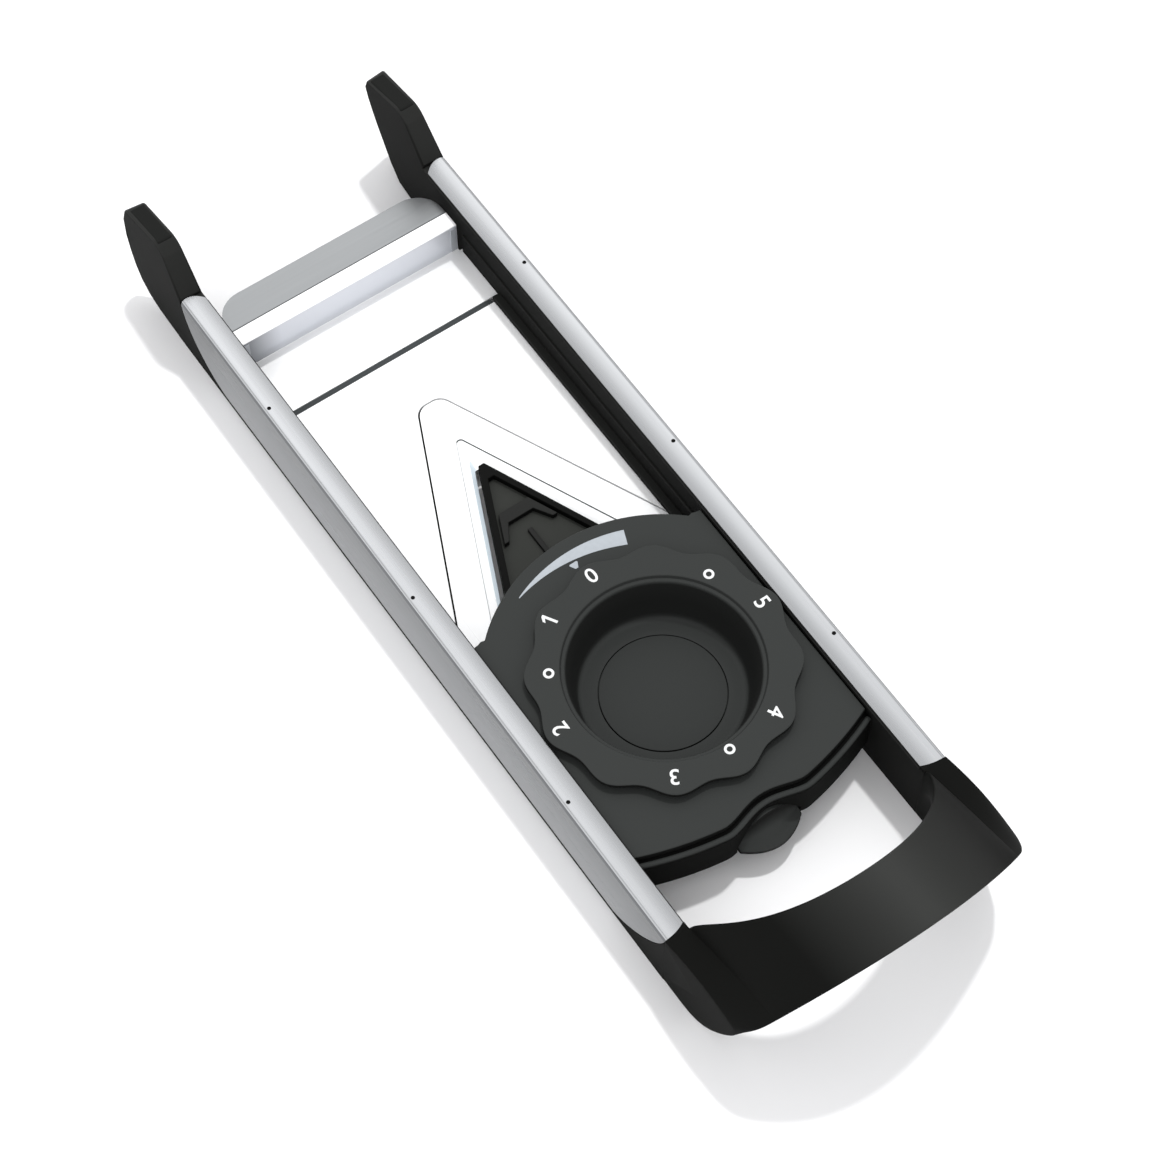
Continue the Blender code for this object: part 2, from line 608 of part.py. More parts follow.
def dial():
    rim_low = LID_HIGH + GAP
    profile = [(44.5, DIAL_TOP - 1.2), (44.5, rim_low + 0.4), (43.9, rim_low), (37.0, rim_low),
               (37.0, LID_LOW - GAP), (35.6, LID_LOW - GAP), (35.6, 23.6), (32.4, 23.6), (31.4, 12.4),
               (0.0, 12.4), (0.0, RECESS_FLOOR - 1.1), (CAP_R + GAP, RECESS_FLOOR - 1.1),
               (CAP_R + GAP, RECESS_FLOOR), (RECESS_LOW_R - 2.4, RECESS_FLOOR), (RECESS_LOW_R - 0.6, 14.7),
               (RECESS_LOW_R, 16.6), (32.4, 30.6), (RECESS_R - 0.4, 31.0), (RECESS_R, 32.6),
               (RECESS_R + 0.5, DIAL_TOP), (43.4, DIAL_TOP)]
    body = turned("dial", profile, CHARCOAL, steps=144)
    centre = Vector((0, DIAL_Y * MM, 0))
    for vertex in body.data.vertices:
        arm = vertex.co - centre
        radius = math.hypot(arm.x, arm.y)
        if radius > 40 * MM:
            grow = (lobe_radius(math.atan2(arm.y, arm.x)) - 44.5) * MM / radius
            vertex.co.x += arm.x * grow
            vertex.co.y += arm.y * grow
    set_origin(body)
    cap = turned("dial_cap", [(0.0, RECESS_FLOOR + 0.1), (CAP_R - 0.5, RECESS_FLOOR + 0.1),
                              (CAP_R, RECESS_FLOOR - 0.2), (CAP_R, RECESS_FLOOR - 0.8),
                              (0.0, RECESS_FLOOR - 0.8)], CHARCOAL)
    set_origin(cap)
    ring = turned("retaining_ring", [(40.5, LID_LOW - GAP), (40.5, 23.8), (35.9, 23.8), (35.9, LID_LOW - GAP - 0.1)],
                  STEEL)
    boolean(ring, block("ring_split", (-1.5, DIAL_Y - 45, 20), (1.5, DIAL_Y - 30, 30)))
    set_origin(ring)
    cam()


def cam_height(angle):
    """Height of the cam's lower face: a steady climb over the dial's travel, then back down."""
    turn = (angle - math.pi / 2 + math.radians(8)) % (2 * math.pi) - math.radians(8)
    rise = FULL_RISE * turn / DIAL_TRAVEL
    end = DIAL_TRAVEL + math.radians(8)
    if turn > end:
        share = (turn - end) / (2 * math.pi - math.radians(8) - end)
        rise = FULL_RISE * (end / DIAL_TRAVEL) * (1 - share)
    return CAM_LOW + max(rise, 0.0)


FULL_RISE = (DIAL_Y + FOLLOWER_R - HINGE_Y) * math.sin(FULL_TILT)


def cam():
    ring = turned("cam_ring", [(CAM_OUT, CAM_TOP), (CAM_OUT, CAM_LOW), (CAM_IN, CAM_LOW), (CAM_IN, CAM_TOP)],
                  CHARCOAL, steps=72)
    for vertex in ring.data.vertices:
        if vertex.co.z < (CAM_LOW + 1) * MM:
            vertex.co.z = cam_height(math.atan2(vertex.co.y - DIAL_Y * MM, vertex.co.x)) * MM
    set_origin(ring)


def set_origin(obj):
    """Moves an object's origin onto the dial's axis, leaving its shape where it is."""
    shift = Vector((0, DIAL_Y * MM, 0))
    obj.data.transform(Matrix.Translation(-shift))
    obj.location = shift


# --- release button and springs ---------------------------------------------------------------

def button_section(x):
    """Cross-section of the button: a shelf at the bottom that scoops up into the housing's wall."""
    share = 1 - (x / BUTTON_HALF) ** 2
    wall = BUTTON_Y + 1.6
    lip_y = BUTTON_Y - 0.3 - BUTTON_OUT * share
    top = BASE_LOW + 2.4 + 10.3 * share
    ring = [(x, wall + 1.9, BASE_LOW), (x, lip_y, BASE_LOW), (x, lip_y - 0.3, BASE_LOW + 1.2),
            (x, lip_y, BASE_LOW + 2.2)]
    for t in span(0.15, 1.0, 6):
        angle = t * math.pi / 2
        y = lip_y + (wall - lip_y) * math.sin(angle)
        ring.append((x, y, top - (top - BASE_LOW - 2.2) * math.cos(angle)))
    ring.append((x, wall + 1.9, top))
    return ring


def release_button():
    button = loft("release_button", [button_section(x) for x in span(-12.4, 12.4, 15)], CHARCOAL)
    stem = rod("button_stem", (0, BUTTON_Y + 3, 15.5), (0, BUTTON_Y + 8.6, 15.5), 1.8, sides=16)
    join(button, stem)


def coil(name, start, end, radius, wire, turns, look):
    """A coil spring, as a thin tube along a helix with flat ends."""
    a, b = Vector(start), Vector(end)
    turn = (b - a).to_track_quat("Z", "Y")
    length = (b - a).length
    curve = bpy.data.curves.new(name, "CURVE")
    curve.dimensions = "3D"
    curve.bevel_depth = wire / 2 * MM
    curve.bevel_resolution = 1
    curve.use_fill_caps = True
    spline = curve.splines.new("POLY")
    count = turns * 10 + 1
    spline.points.add(count - 1)
    for i, point in enumerate(spline.points):
        angle = 2 * math.pi * i / 10
        local = Vector((radius * math.cos(angle), radius * math.sin(angle),
                        wire / 2 + (length - wire) * i / (count - 1)))
        point.co = (*((a + turn @ local) * MM), 1.0)
    made = bpy.data.objects.new(name, curve)
    curve.materials.append(material(name, look))
    PARTS.objects.link(made)


def springs():
    for side, side_name in ((-1, "left"), (1, "right")):
        coil(f"{side_name}_lift_spring", (side * 20.5, -15, RAMP_HIGH + 2.2), (side * 20.5, -15, LID_LOW - 0.8),
             3.0, 0.8, 5, STEEL)
    coil("release_spring", (0, BUTTON_Y + 4.0, 15.5), (0, BUTTON_Y + 11.5, 15.5), 2.9, 0.7, 4, STEEL)


def spring_rest():
    """The post that backs the release spring, hung from the dial cover's underside."""
    y = BUTTON_Y + 12.1
    block("spring_rest", (-6, y, 12.2), (6, y + 1.6, LID_LOW - GAP), CHARCOAL)


# --- build ---------------------------------------------------------------------------------------

clear_scene()
PARTS = collection("mandoline_slicer")
CUTTERS = collection("cutters")
CUTTERS.hide_render = True

for SIDE, SIDE_NAME in ((-1, "left"), (1, "right")):
    side_frame(f"{SIDE_NAME}_side_frame", SIDE)
    rail_cover(f"{SIDE_NAME}_rail_cover", SIDE)
    cover_pins(SIDE, SIDE_NAME)
    foot_pad(f"{SIDE_NAME}_foot_pad", SIDE, 0.0, RUBBER)
handle()
blade_plate()
v_blade()
end_plate()
blade_clamps()
ramp()
cam_follower()
housing()
dial()
release_button()
springs()
spring_rest()
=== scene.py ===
"""The looks of a V-blade mandoline slicer that lies food side down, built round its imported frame.

The frame: +X across the slicer, +Y from the handle to the feet, +Z up. Sizes here are in
millimetres, in the frame's own places, and MM turns them into metres.
"""
import math

import bmesh
import bpy
from mathutils import Matrix, Vector


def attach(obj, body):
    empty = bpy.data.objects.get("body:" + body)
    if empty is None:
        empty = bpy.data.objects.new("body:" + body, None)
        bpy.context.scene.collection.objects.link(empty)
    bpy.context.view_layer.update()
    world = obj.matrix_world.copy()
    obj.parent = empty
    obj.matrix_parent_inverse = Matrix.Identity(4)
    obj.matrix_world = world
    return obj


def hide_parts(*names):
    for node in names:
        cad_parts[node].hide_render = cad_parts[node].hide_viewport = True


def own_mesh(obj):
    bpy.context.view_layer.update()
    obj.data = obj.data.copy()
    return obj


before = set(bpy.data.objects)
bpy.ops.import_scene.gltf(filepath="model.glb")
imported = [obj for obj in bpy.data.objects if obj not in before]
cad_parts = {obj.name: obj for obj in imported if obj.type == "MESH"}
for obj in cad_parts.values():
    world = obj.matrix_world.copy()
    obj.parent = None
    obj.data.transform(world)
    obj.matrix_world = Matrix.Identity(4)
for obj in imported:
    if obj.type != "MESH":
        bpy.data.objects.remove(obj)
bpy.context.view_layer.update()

MM = 0.001
GAP = 0.3
SIDES = (-1, "left"), (1, "right")

# Side frames, covers and feet
HALF_WIDTH, INNER_WALL = 56.5, 47.4
RAIL_TOP = 32.7
COVER_LOW, COVER_SKIN = 1.9, 1.2
COVER_NEAR, COVER_FAR = -140.9, 156.2
CURVE_NEAR, CURVE_FAR = -112.7, 129.2     # where the covers' rounded ends start
SEAM_Y = -141.0               # where the side frames meet the handle's legs
FOOT_BEND, FOOT_TIP = (169.2, 50.6), (194.6, 45.1)      # the ends of the foot's upper end face
HANDLE_Y, HANDLE_HIGH = -196.6, 77.0
BAND_THICK, LEG_RISE_Y = 6.5, -155.9
PIN_X, PIN_YS = 54.0, (100.3, 8.3, -83.8)

# Plates and blade: each V is (tip Y, half width there, widening per mm)
PLATE_LOW, PLATE_HIGH, SHEET = 8.1, 9.5, 1.4
SLOT_X, PLATE_EDGE_X = 49.0, 43.3
JOINT_Y = 105.9, 108.2        # where the blade plate ends and the end plate starts
WALL_Y, WALL_TOP, BAND_END_Y, LIP_END_Y = 133.4, 24.3, 140.2, 154.8
END_PLATE_X, LIP_LOW, LIP_CORNER = 46.1, 22.8, 11.0
OUTER_V, INNER_V, EDGE_V = (83.1, 4.8, 0.4557), (64.0, 1.1, 0.4475), (50.3, 2.0, 0.4500)
ARM_END_Y = -45.0

# Dial and housing
DIAL_Y, DIAL_TOP = -61.7, 33.1
LOBES, LOBE_R, LOBE_DEPTH = 12, 45.4, 1.4
RECESS_LOW_R, RECESS_FLOOR = 29.3, 14.0
CAP_R, RIM_R, UNLOBED_R = 21.9, 44.5, 41.0
MARKS_Y = DIAL_Y + 1.0        # the marks' circles stand a little towards the blade
DIGIT_R, RING_R, MARK_HIGH = 41.3, 37.9, 0.07
CRESCENT_ENDS, CRESCENT_R, CRESCENT_THICK_R = (68.6, 114.9), 56.4, 50.5
LID_LOW, LID_HIGH, LID_HOLE_R, LID_FAR_R, LID_SIDE_X = 25.5, 28.9, 37.6, 61.3, 46.9
LID_NEAR_Y, LID_NEAR_R, NOTCH_HALF, NOTCH_DEPTH = -120.1, 118.0, 16.5, 4.3
RIM_OUT, BASE_LOW = 3.4, 9.8

# Ramp and button
RAMP_LOW, RAMP_HIGH, RAMP_X, RAMP_NEAR_Y = 7.6, 8.8, 46.4, -112.0
CARRIER_LOW = RAMP_HIGH + GAP
FOLLOWER_R, HINGE_Y, HINGE_Z = 36.5, -107.5, 11.6
BUTTON_HALF, BUTTON_OUT, BUTTON_Y = 12.4, 6.2, -122.0
SCOOP_HALF, SCOOP_RISE = 13.3, 10.3


# --- node materials ---

# Grain runs along one axis where its noise is drawn out by BRUSHED; depths are in metres
BRUSHED = 0.012
GRAIN_DEPTH = 0.00002


class Look:
    """A material with a Principled shader, and short ways to add texture nodes to it."""

    def __init__(self, name, roughness=0.5, metallic=0.0, specular=0.5):
        self.material = bpy.data.materials.new(name)
        self.material.use_nodes = True
        self.tree = self.material.node_tree
        self.shader = self.tree.nodes["Principled BSDF"]
        self.shader.inputs["Roughness"].default_value = roughness
        self.shader.inputs["Metallic"].default_value = metallic
        self.shader.inputs["Specular IOR Level"].default_value = specular
        coordinates = self.tree.nodes.new("ShaderNodeTexCoord")
        self.place, self.normal = coordinates.outputs["Object"], coordinates.outputs["Normal"]

    def link(self, output, node_input):
        self.tree.links.new(output, node_input)

    def noise(self, scale, stretch=(1, 1, 1), detail=3.0):
        """Noise in the frame's own coordinates, drawn out along an axis by a low stretch."""
        mapping = self.tree.nodes.new("ShaderNodeMapping")
        mapping.inputs["Scale"].default_value = [scale * s for s in stretch]
        self.link(self.place, mapping.inputs["Vector"])
        noise = self.tree.nodes.new("ShaderNodeTexNoise")
        noise.inputs["Scale"].default_value = 1.0
        noise.inputs["Detail"].default_value = detail
        self.link(mapping.outputs["Vector"], noise.inputs["Vector"])
        return noise.outputs["Fac"]

    def ramp(self, value, low, high, start=0.3, end=0.7):
        """Maps a 0..1 value onto colours or greys, low up to start and high from end."""
        ramp = self.tree.nodes.new("ShaderNodeValToRGB")
        one, two = ramp.color_ramp.elements
        one.position, two.position = start, end
        one.color = (*low, 1) if hasattr(low, "__len__") else (low, low, low, 1)
        two.color = (*high, 1) if hasattr(high, "__len__") else (high, high, high, 1)
        self.link(value, ramp.inputs["Fac"])
        return ramp.outputs["Color"]

    def axis(self, source, name):
        """One coordinate of a place or a normal."""
        split = self.tree.nodes.new("ShaderNodeSeparateXYZ")
        self.link(source, split.inputs["Vector"])
        return split.outputs[name]

    def maths(self, operation, value, other=0.0):
        node = self.tree.nodes.new("ShaderNodeMath")
        node.operation = operation
        self.link(value, node.inputs[0])
        node.inputs[1].default_value = other
        return node.outputs["Value"]

    def bump(self, value, distance, strength):
        bump = self.tree.nodes.new("ShaderNodeBump")
        bump.inputs["Distance"].default_value = distance
        bump.inputs["Strength"].default_value = strength
        self.link(value, bump.inputs["Height"])
        return bump.outputs["Normal"]

    def set(self, socket, output):
        self.link(output, self.shader.inputs[socket])


def plastic(name, upright, top, roughness, grain=2600, specular=0.12):
    """Moulded plastic with a fine grain: satin on its upper faces and matt on upright ones, its colour
    painted with shade, darker on upright faces and lighter on upper ones.
    """
    look = Look(name, roughness, specular=specular)
    facing = look.axis(look.normal, "Z")
    # painted shade: the dark upright tone on faces that stand up, the lighter top tone on faces turned
    # up
    look.set("Base Color", look.ramp(facing, upright, top, 0.15, 0.60))
    look.set("Roughness", look.ramp(facing, 0.85, roughness, 0.25, 0.80))
    look.set("Normal", look.bump(look.noise(grain), GRAIN_DEPTH, 0.6))
    return look.material


def hoop_plastic(name, ends, middle, roughness=0.36):
    """The handle's plastic, with a painted highlight in the middle of the grip and painted shade towards
    its ends.
    """
    look = Look(name, roughness, specular=0.04)
    off_centre = look.maths("SUBTRACT", look.axis(look.place, "X"), 0.004)
    away = look.maths("MULTIPLY", look.maths("ABSOLUTE", off_centre), 10.0)
    # painted highlight in the middle of the grip, painted shade towards the ends
    look.set("Base Color", look.ramp(away, middle, ends, 0.02, 0.36))
    look.set("Roughness", look.ramp(away, roughness, 0.7, 0.15, 0.40))
    look.set("Normal", look.bump(look.noise(2600), GRAIN_DEPTH, 0.6))
    return look.material


def cover_metal(name, low, high, roughness):
    """Satin aluminium for the covers' side faces: darker than the tops, and darker still towards their
    upper edge, both as painted shade.
    """
    look = Look(name, roughness, metallic=1.0)
    height = look.maths("MULTIPLY", look.axis(look.place, "Z"), 30.0)
    lines = look.noise(900, (1, BRUSHED, 1), detail=4)
    # painted shade: darker towards the upper edge
    look.set("Base Color", look.ramp(height, low, high, 0.10, 0.90))
    look.set("Roughness", look.ramp(lines, roughness - 0.03, roughness + 0.03))
    look.set("Normal", look.bump(lines, 0.000004, 0.5))
    return look.material


def metal(name, colour, roughness, crosswise=False, depth=0.000004, spread=0.07, wave=0.02, solid=1.0):
    """Sheet metal with fine straight grain, along the slicer or across it, dulled by wave in bands."""
    look = Look(name, roughness, metallic=solid)
    stretch = (BRUSHED, 1, 1) if crosswise else (1, BRUSHED, 1)
    lines = look.noise(900, stretch, detail=4)
    dull = [max(c - wave, 0) for c in colour]
    look.set("Base Color", look.ramp(look.noise(30, stretch), dull, colour))
    look.set("Roughness", look.ramp(lines, roughness - spread / 2, roughness + spread / 2))
    look.set("Normal", look.bump(lines, depth, 0.5))
    return look.material


def wall_metal(name, left, rest, roughness):
    """The end plate's upright wall: the same sheet darkened as painted shade, and darker still at its
    left end as a painted reflection of the left side frame.
    """
    look = Look(name, roughness, metallic=0.35)
    across = look.maths("ADD", look.maths("MULTIPLY", look.axis(look.place, "X"), 10.0), 0.5)
    # painted reflection of the left side frame at the left end, painted shade over the rest
    look.set("Base Color", look.ramp(across, left, rest, 0.07, 0.20))
    look.set("Normal", look.bump(look.noise(900, (BRUSHED, 1, 1)), 0.000002, 0.5))
    return look.material


def painted(name, colour, roughness=0.5):
    """Printed or moulded-in marking, with a faint unevenness."""
    look = Look(name, roughness)
    grey = [c * 0.93 for c in colour]
    look.set("Base Color", look.ramp(look.noise(700), grey, colour))
    look.set("Normal", look.bump(look.noise(2600), 0.00001, 0.4))
    return look.material


# Each plastic's first tone is painted shade on its upright faces, its second the lighter tone of its
# upper faces.
BLACK = plastic("black_plastic", (0.0045, 0.0047, 0.0042), (0.0150, 0.0155, 0.0145), 0.40)
PITCH = plastic("pitch_plastic", (0.0035, 0.0037, 0.0033), (0.0055, 0.0057, 0.0053), 0.55,
                specular=0.05)
HOOP = hoop_plastic("handle_plastic", (0.0050, 0.0052, 0.0047), (0.0330, 0.0340, 0.0325))
CHARCOAL = plastic("charcoal_plastic", (0.0055, 0.0057, 0.0052), (0.0300, 0.0322, 0.0310), 0.46)
DEEP = plastic("deep_plastic", (0.0080, 0.0085, 0.0080), (0.0160, 0.0170, 0.0160), 0.45)
NOSE = plastic("nose_plastic", (0.0100, 0.0105, 0.0095), (0.0290, 0.0305, 0.0275), 0.5)
# painted shade: dark grey for the joint between the plates, the blade's step line and the lip's bend
JOINT_SHADE = plastic("joint_painted_shade", (0.030, 0.032, 0.033), (0.048, 0.053, 0.055), 0.6)
RUBBER = plastic("grip_rubber", (0.0045, 0.0047, 0.0042), (0.0100, 0.0105, 0.0098), 0.70,
                 grain=1500, specular=0.08)
ALUMINIUM = metal("satin_aluminium", (0.50, 0.51, 0.52), 0.26, depth=0.000003)
SIDE_METAL = cover_metal("satin_aluminium_side", (0.45, 0.46, 0.47), (0.16, 0.165, 0.17), 0.30)
STEEL = metal("polished_steel", (0.96, 0.965, 0.965), 0.30,
              spread=0.01, wave=0.008, solid=0.10, depth=0.0000002)
WALL_STEEL = wall_metal("shaded_steel", (0.23, 0.24, 0.26), (0.67, 0.69, 0.74), 0.30)
# The lip's steel is darkened as painted shade; its grain runs across.
LIP_STEEL = metal("brushed_lip_steel_painted_shade", (0.335, 0.345, 0.35), 0.34, crosswise=True)
BLADE_STEEL = metal("blade_steel", (0.95, 0.957, 0.96), 0.28,
                    spread=0.02, wave=0.01, solid=0.12, depth=0.0000004)
# painted reflection: blue-grey for the blade's left ground bevel only
LEFT_BEVEL_REFLECTION = metal("left_bevel_painted_reflection", (0.60, 0.68, 0.73), 0.25,
                     spread=0.03, solid=0.12, depth=0.000001)
SMALL_STEEL = metal("small_steel", (0.45, 0.46, 0.47), 0.28)
TAB_STEEL = metal("tab_steel", (0.40, 0.42, 0.45), 0.40,
                  spread=0.02, solid=0.15, depth=0.0000004)
FAINT_STEEL = metal("faint_steel", (0.62, 0.64, 0.65), 0.30,
                    spread=0.03, solid=0.12, depth=0.0000004)
WHITE = painted("white_marking", (0.70, 0.71, 0.71))
CRESCENT = painted("crescent_marking", (0.37, 0.40, 0.43), 0.35)


# --- mesh helpers ---

def new_object(name, mesh, material, body, replaces=()):
    """Puts a finished mesh on a body of the frame, in place of the CAD nodes that it stands for."""
    made = bpy.data.objects.new(name, mesh)
    bpy.context.scene.collection.objects.link(made)
    mesh.materials.append(material)
    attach(made, body)
    if replaces:
        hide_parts(*replaces)
    return made


def build(fill):
    """A mesh from a function that fills a bmesh in millimetres."""
    bm = bmesh.new()
    fill(bm)
    bmesh.ops.recalc_face_normals(bm, faces=bm.faces)
    bmesh.ops.scale(bm, vec=(MM, MM, MM), verts=bm.verts)
    mesh = bpy.data.meshes.new("piece")
    bm.to_mesh(mesh)
    bm.free()
    return mesh


def soften(made, width=0.0, segments=3, angle=35, subdivide=0, weighted=False):
    """Rounds the edges, then shades the faces smooth but for what is still sharp."""
    if subdivide:
        sub = made.modifiers.new("subdivide", "SUBSURF")
        sub.levels = sub.render_levels = subdivide
    if width:
        bevel = made.modifiers.new("bevel", "BEVEL")
        bevel.width, bevel.segments = width * MM, segments
        bevel.limit_method = "WEIGHT" if weighted else "ANGLE"
        bevel.angle_limit = math.radians(angle)
    mesh = made.data
    mesh.shade_smooth()
    if not subdivide:
        if not width:
            mesh.set_sharp_from_angle(angle=math.radians(angle))
        normals = made.modifiers.new("normals", "WEIGHTED_NORMAL")
        normals.keep_sharp = True
        normals.weight = 80
    return made


def prism(bm, outline, low, high, upright=False, inner=None):
    """A closed prism: (X, Y) outline between two heights, or (Y, Z) outline between two X places."""
    ends = []
    for place, points in ((low, outline), (high, inner or outline)):
        if upright:
            ends.append([bm.verts.new((place, u, v)) for u, v in points])
        else:
            ends.append([bm.verts.new((u, v, place)) for u, v in points])
    count = len(outline)
    for i in range(count):
        j = (i + 1) % count
        bm.faces.new((ends[0][i], ends[0][j], ends[1][j], ends[1][i]))
    bm.faces.new(ends[0][::-1])
    bm.faces.new(ends[1])


def box(bm, low, high):
    (x_low, y_low, z_low), (x_high, y_high, z_high) = low, high
    prism(bm, [(x_low, y_low), (x_high, y_low), (x_high, y_high), (x_low, y_high)], z_low, z_high)


def grid(bm, rows, closed_rows=False, closed_columns=False, caps=False):
    """Faces over rows of points that all have the same count."""
    verts = [[bm.verts.new(p) for p in row] for row in rows]
    row_pairs = list(zip(verts, verts[1:]))
    if closed_rows:
        row_pairs.append((verts[-1], verts[0]))
    count = len(rows[0])
    for one, two in row_pairs:
        for i in range(count if closed_columns else count - 1):
            j = (i + 1) % count
            bm.faces.new((one[i], one[j], two[j], two[i]))
    if caps:
        bm.faces.new(verts[0][::-1])
        bm.faces.new(verts[-1])


def span(first, last, count):
    return [first + (last - first) * i / (count - 1) for i in range(count)]


def arc(centre_x, centre_y, radius, start, end, count):
    """Points on an arc, with its angles in degrees."""
    angles = [math.radians(a) for a in span(start, end, count)]
    return [(centre_x + radius * math.cos(a), centre_y + radius * math.sin(a)) for a in angles]


def circle(centre_x, centre_y, radius, count, backwards=False):
    """A closed ring of points, run backwards where it is a hole."""
    start, end = (360, 0) if backwards else (0, 360)
    return arc(centre_x, centre_y, radius, start, end, count + 1)[:-1]


def fillet(points, radii, steps=6, closed=True):
    """Rounds an outline's corners, each with its own radius."""
    made = []
    count = len(points)
    for i, (point, radius) in enumerate(zip(points, radii)):
        here = Vector(point)
        ends = not closed and i in (0, count - 1)
        if radius <= 0 or ends:
            made.append(tuple(here))
            continue
        back = (Vector(points[i - 1]) - here).normalized()
        ahead = (Vector(points[(i + 1) % count]) - here).normalized()
        half = back.angle(ahead) / 2
        reach = radius / math.tan(half)
        start, end = here + back * reach, here + ahead * reach
        centre = here + (back + ahead).normalized() * (radius / math.sin(half))
        for t in span(0, 1, steps):
            arm = start.lerp(end, t) - centre
            made.append(tuple(centre + arm.normalized() * radius))
    return made


def curve_slab(splines, low, high, edge):
    """A flat slab from (X, Y) outlines, inner ones being holes, with rounded upper and lower edges."""
    curve = bpy.data.curves.new("slab", "CURVE")
    curve.dimensions = "2D"
    curve.fill_mode = "BOTH"
    curve.bevel_depth = edge * MM
    curve.bevel_resolution = 2
    curve.offset = -edge * MM
    curve.extrude = ((high - low) / 2 - edge) * MM
    for outline in splines:
        spline = curve.splines.new("POLY")
        spline.points.add(len(outline) - 1)
        for point, (x, y) in zip(spline.points, outline):
            point.co = (x * MM, y * MM, 0, 1)
        spline.use_cyclic_u = True
    holder = bpy.data.objects.new("slab", curve)
    bpy.context.scene.collection.objects.link(holder)
    graph = bpy.context.evaluated_depsgraph_get()
    mesh = bpy.data.meshes.new_from_object(holder.evaluated_get(graph))
    bpy.data.objects.remove(holder, do_unlink=True)
    bm = bmesh.new()
    bm.from_mesh(mesh)
    bmesh.ops.remove_doubles(bm, verts=bm.verts, dist=1e-6)
    bmesh.ops.recalc_face_normals(bm, faces=bm.faces)
    bmesh.ops.translate(bm, vec=(0, 0, (low + high) / 2 * MM), verts=bm.verts)
    bm.to_mesh(mesh)
    bm.free()
    mesh.materials.clear()
    return mesh


def cut(made, outline):
    """Cuts a straight opening right through a piece, before its other modifiers."""
    subtract(made, build(lambda bm: prism(bm, outline, 0, 40)))


def subtract(made, tool_mesh):
    tool = bpy.data.objects.new("cutter", tool_mesh)
    bpy.context.scene.collection.objects.link(tool)
    step = made.modifiers.new("cut", "BOOLEAN")
    step.operation, step.solver, step.object = "DIFFERENCE", "EXACT", tool
    graph = bpy.context.evaluated_depsgraph_get()
    mesh = bpy.data.meshes.new_from_object(made.evaluated_get(graph))
    made.modifiers.remove(step)
    made.data = mesh
    bpy.data.objects.remove(tool, do_unlink=True)


def settle(made):
    """Makes a piece's modifiers part of its mesh."""
    graph = bpy.context.evaluated_depsgraph_get()
    mesh = bpy.data.meshes.new_from_object(made.evaluated_get(graph))
    made.modifiers.clear()
    made.data = mesh


# --- side frames ---

def end_reach(height, start, reach, power):
    """How far a cover's rounded end stands out, at a height on its side face."""
    down = min(max((RAIL_TOP - height) / (RAIL_TOP - COVER_LOW), 0.0), 1.0)
    return start + reach * (1 - down ** power) ** (1 / power)


def far_end(height):
    return end_reach(height, CURVE_FAR, COVER_FAR - CURVE_FAR, 1.9)


def near_end(height):
    return end_reach(height, CURVE_NEAR, COVER_NEAR - CURVE_NEAR, 1.4)


def cover_section(side):
    """A cover's outside from its inner top edge, over a gentle crown, and down its side face."""
    points = [(INNER_WALL + 0.25, RAIL_TOP - 1.3)]
    for x in span(INNER_WALL + 0.3, 54.9, 12):
        points.append((x, RAIL_TOP - 0.018 * (55.2 - x) ** 2))
    points += [(HALF_WIDTH - 1.5 + 1.5 * math.sin(a), RAIL_TOP - 1.5 + 1.5 * math.cos(a))
               for a in span(0.1, math.pi / 2, 7)]
    for t in span(0.12, 1.0, 22):
        down = math.sin(t * math.pi / 2) ** 1.3
        points.append((HALF_WIDTH, RAIL_TOP - (RAIL_TOP - COVER_LOW) * down))
    return [(side * x, z) for x, z in points if z > COVER_LOW - 0.01]


def rail_cover(name, side):
    def fill(bm):
        rows = []
        for share in span(0.0, 1.0, 41):
            row = []
            for x, z in cover_section(side):
                inward = max(HALF_WIDTH - abs(x), 0.0) / 9.0
                far = far_end(z) + 4.6 * inward - 7.0 * inward ** 2
                near = near_end(z) + 2.2 * inward ** 2.2
                row.append((x, near + (far - near) * share, z))
            rows.append(row)
        grid(bm, rows)
    cover = new_object(name + "_shell", build(fill), ALUMINIUM, "frame", [name])
    shell = cover.modifiers.new("skin", "SOLIDIFY")
    shell.thickness, shell.offset = COVER_SKIN * MM, -1.0
    shell.use_even_offset = True
    face_out(cover.data, side)
    # The side faces take the side metal, the aluminium darkened as painted shade.
    cover.data.materials.append(SIDE_METAL)
    for polygon in cover.data.polygons:
        if abs(polygon.normal.x) > 0.5:
            polygon.material_index = 1
    soften(cover, 0.18, 2, 50)
    for number, y in enumerate(PIN_YS, 1):
        pin = name.replace("rail_cover", f"cover_pin_{number}")
        rivet(f"{name}_rivet_{number}", side * PIN_X, y, pin)


def rivet(name, x, y, replaced):
    """A small dark pin through the cover's crown, with a domed head."""
    def fill(bm):
        profile = [(0.01, 0.12), (0.4, 0.10), (0.72, 0.02), (0.80, -0.15), (0.60, -0.4), (0.60, -4.0),
                   (0.01, -4.0)]
        rows = [[(x + r * math.cos(a), y + r * math.sin(a), RAIL_TOP + z) for r, z in profile]
                for a in span(0, 2 * math.pi * 23 / 24, 24)]
        grid(bm, rows, closed_rows=True)
        bmesh.ops.remove_doubles(bm, verts=bm.verts, dist=0.03)
    return soften(new_object(name, build(fill), PITCH, "frame", [replaced]), angle=40)


def face_out(mesh, side):
    """Turns an open sheet so that its normals point up and away from the middle."""
    total = sum((p.normal.z * 3 + side * p.normal.x) * p.area for p in mesh.polygons)
    if total < 0:
        mesh.flip_normals()


